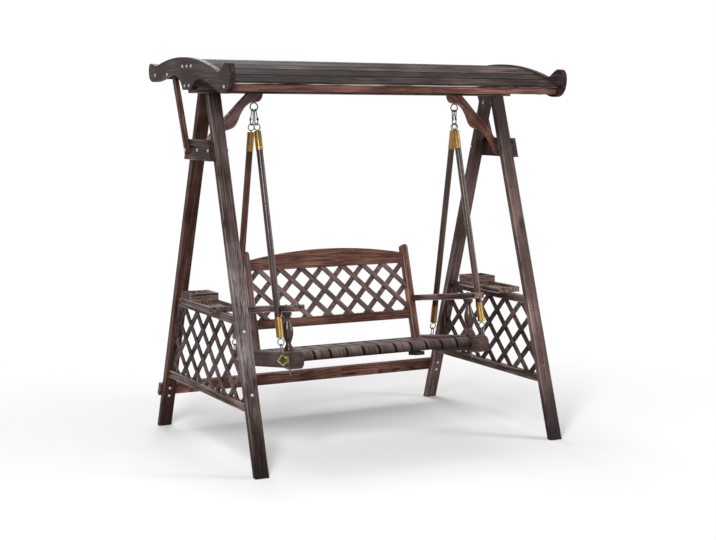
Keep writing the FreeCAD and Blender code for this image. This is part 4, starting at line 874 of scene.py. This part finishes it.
floor.data.materials.append(pale)
print("floor fades from", FLOOR_NEAR, "to", FLOOR_FAR, "m")

# %% [markdown]
# Three soft lamps: a key from the front left and above, a weaker fill from the right, and one behind that
# draws a line along the upper edges. Small lamps would be harsh and a large square one would turn the
# lacquered poles grey all round. So key and fill are tall and narrow, which leaves a thin bright line
# along each round pole and still gives the shadow on the floor a soft edge.

# %% Lamps
LAMP_HEIGHT = 3.0
LAMPS = {
    "key": ((-3.2, -3.6, 4.2), (0, 0, 0.9), 1.0, 210),
    "fill": ((4.2, -3.0, 2.6), (0, 0, 0.9), 1.0, 90),
    "rim": ((0.5, 4.2, 4.0), (0, 0, 1.2), 3.0, 120),
}
for name, (place, aim, width, power) in LAMPS.items():
    lamp = bpy.data.lights.new(name, "AREA")
    lamp.energy = power
    lamp.shape = "RECTANGLE"
    lamp.size = width
    lamp.size_y = LAMP_HEIGHT
    holder = bpy.data.objects.new(name, lamp)
    bpy.context.scene.collection.objects.link(holder)
    holder.location = place
    holder.rotation_euler = (Vector(aim) - Vector(place)).to_track_quat("-Z", "Y").to_euler()
print("lamps", list(LAMPS))

# %% [markdown]
# The camera was fitted to edges of the swing in the photograph: a lens of about 72 mm on a 36 mm wide
# sensor, eye height about 1.75 m, a little to the left of the swing's front. It could be turned down until
# the swing fills the picture, but the photograph's uprights hardly converge, so the picture is shifted
# down a little in its frame instead, as with a view camera.

# %% Camera
FOCAL_PIXELS = 1422.7
PICTURE_WIDTH = 716.0
SHIFT_PIXELS = -80.0
SENSOR_WIDTH = 36.0
EYE = Vector((-3.6246, -6.6247, 1.7521))
YAW, PITCH, ROLL = 0.5011, 0.0597, 0.0060
ahead = Vector((math.sin(YAW) * math.cos(PITCH), math.cos(YAW) * math.cos(PITCH), -math.sin(PITCH)))
level_right = Vector((math.cos(YAW), -math.sin(YAW), 0))
level_up = level_right.cross(ahead)
right = level_right * math.cos(ROLL) + level_up * math.sin(ROLL)
upward = level_up * math.cos(ROLL) - level_right * math.sin(ROLL)
lens = bpy.data.cameras.new("camera")
lens.sensor_width = SENSOR_WIDTH
lens.lens = FOCAL_PIXELS * SENSOR_WIDTH / PICTURE_WIDTH
lens.shift_y = SHIFT_PIXELS / PICTURE_WIDTH
camera = bpy.data.objects.new("camera", lens)
bpy.context.scene.collection.objects.link(camera)
turn = Matrix((right, upward, -ahead)).transposed().to_4x4()
camera.matrix_world = Matrix.Translation(EYE) @ turn
bpy.context.scene.camera = camera
bpy.context.scene.view_settings.view_transform = "Standard"
print("lens", round(lens.lens, 2), "mm, shift", round(lens.shift_y, 4))
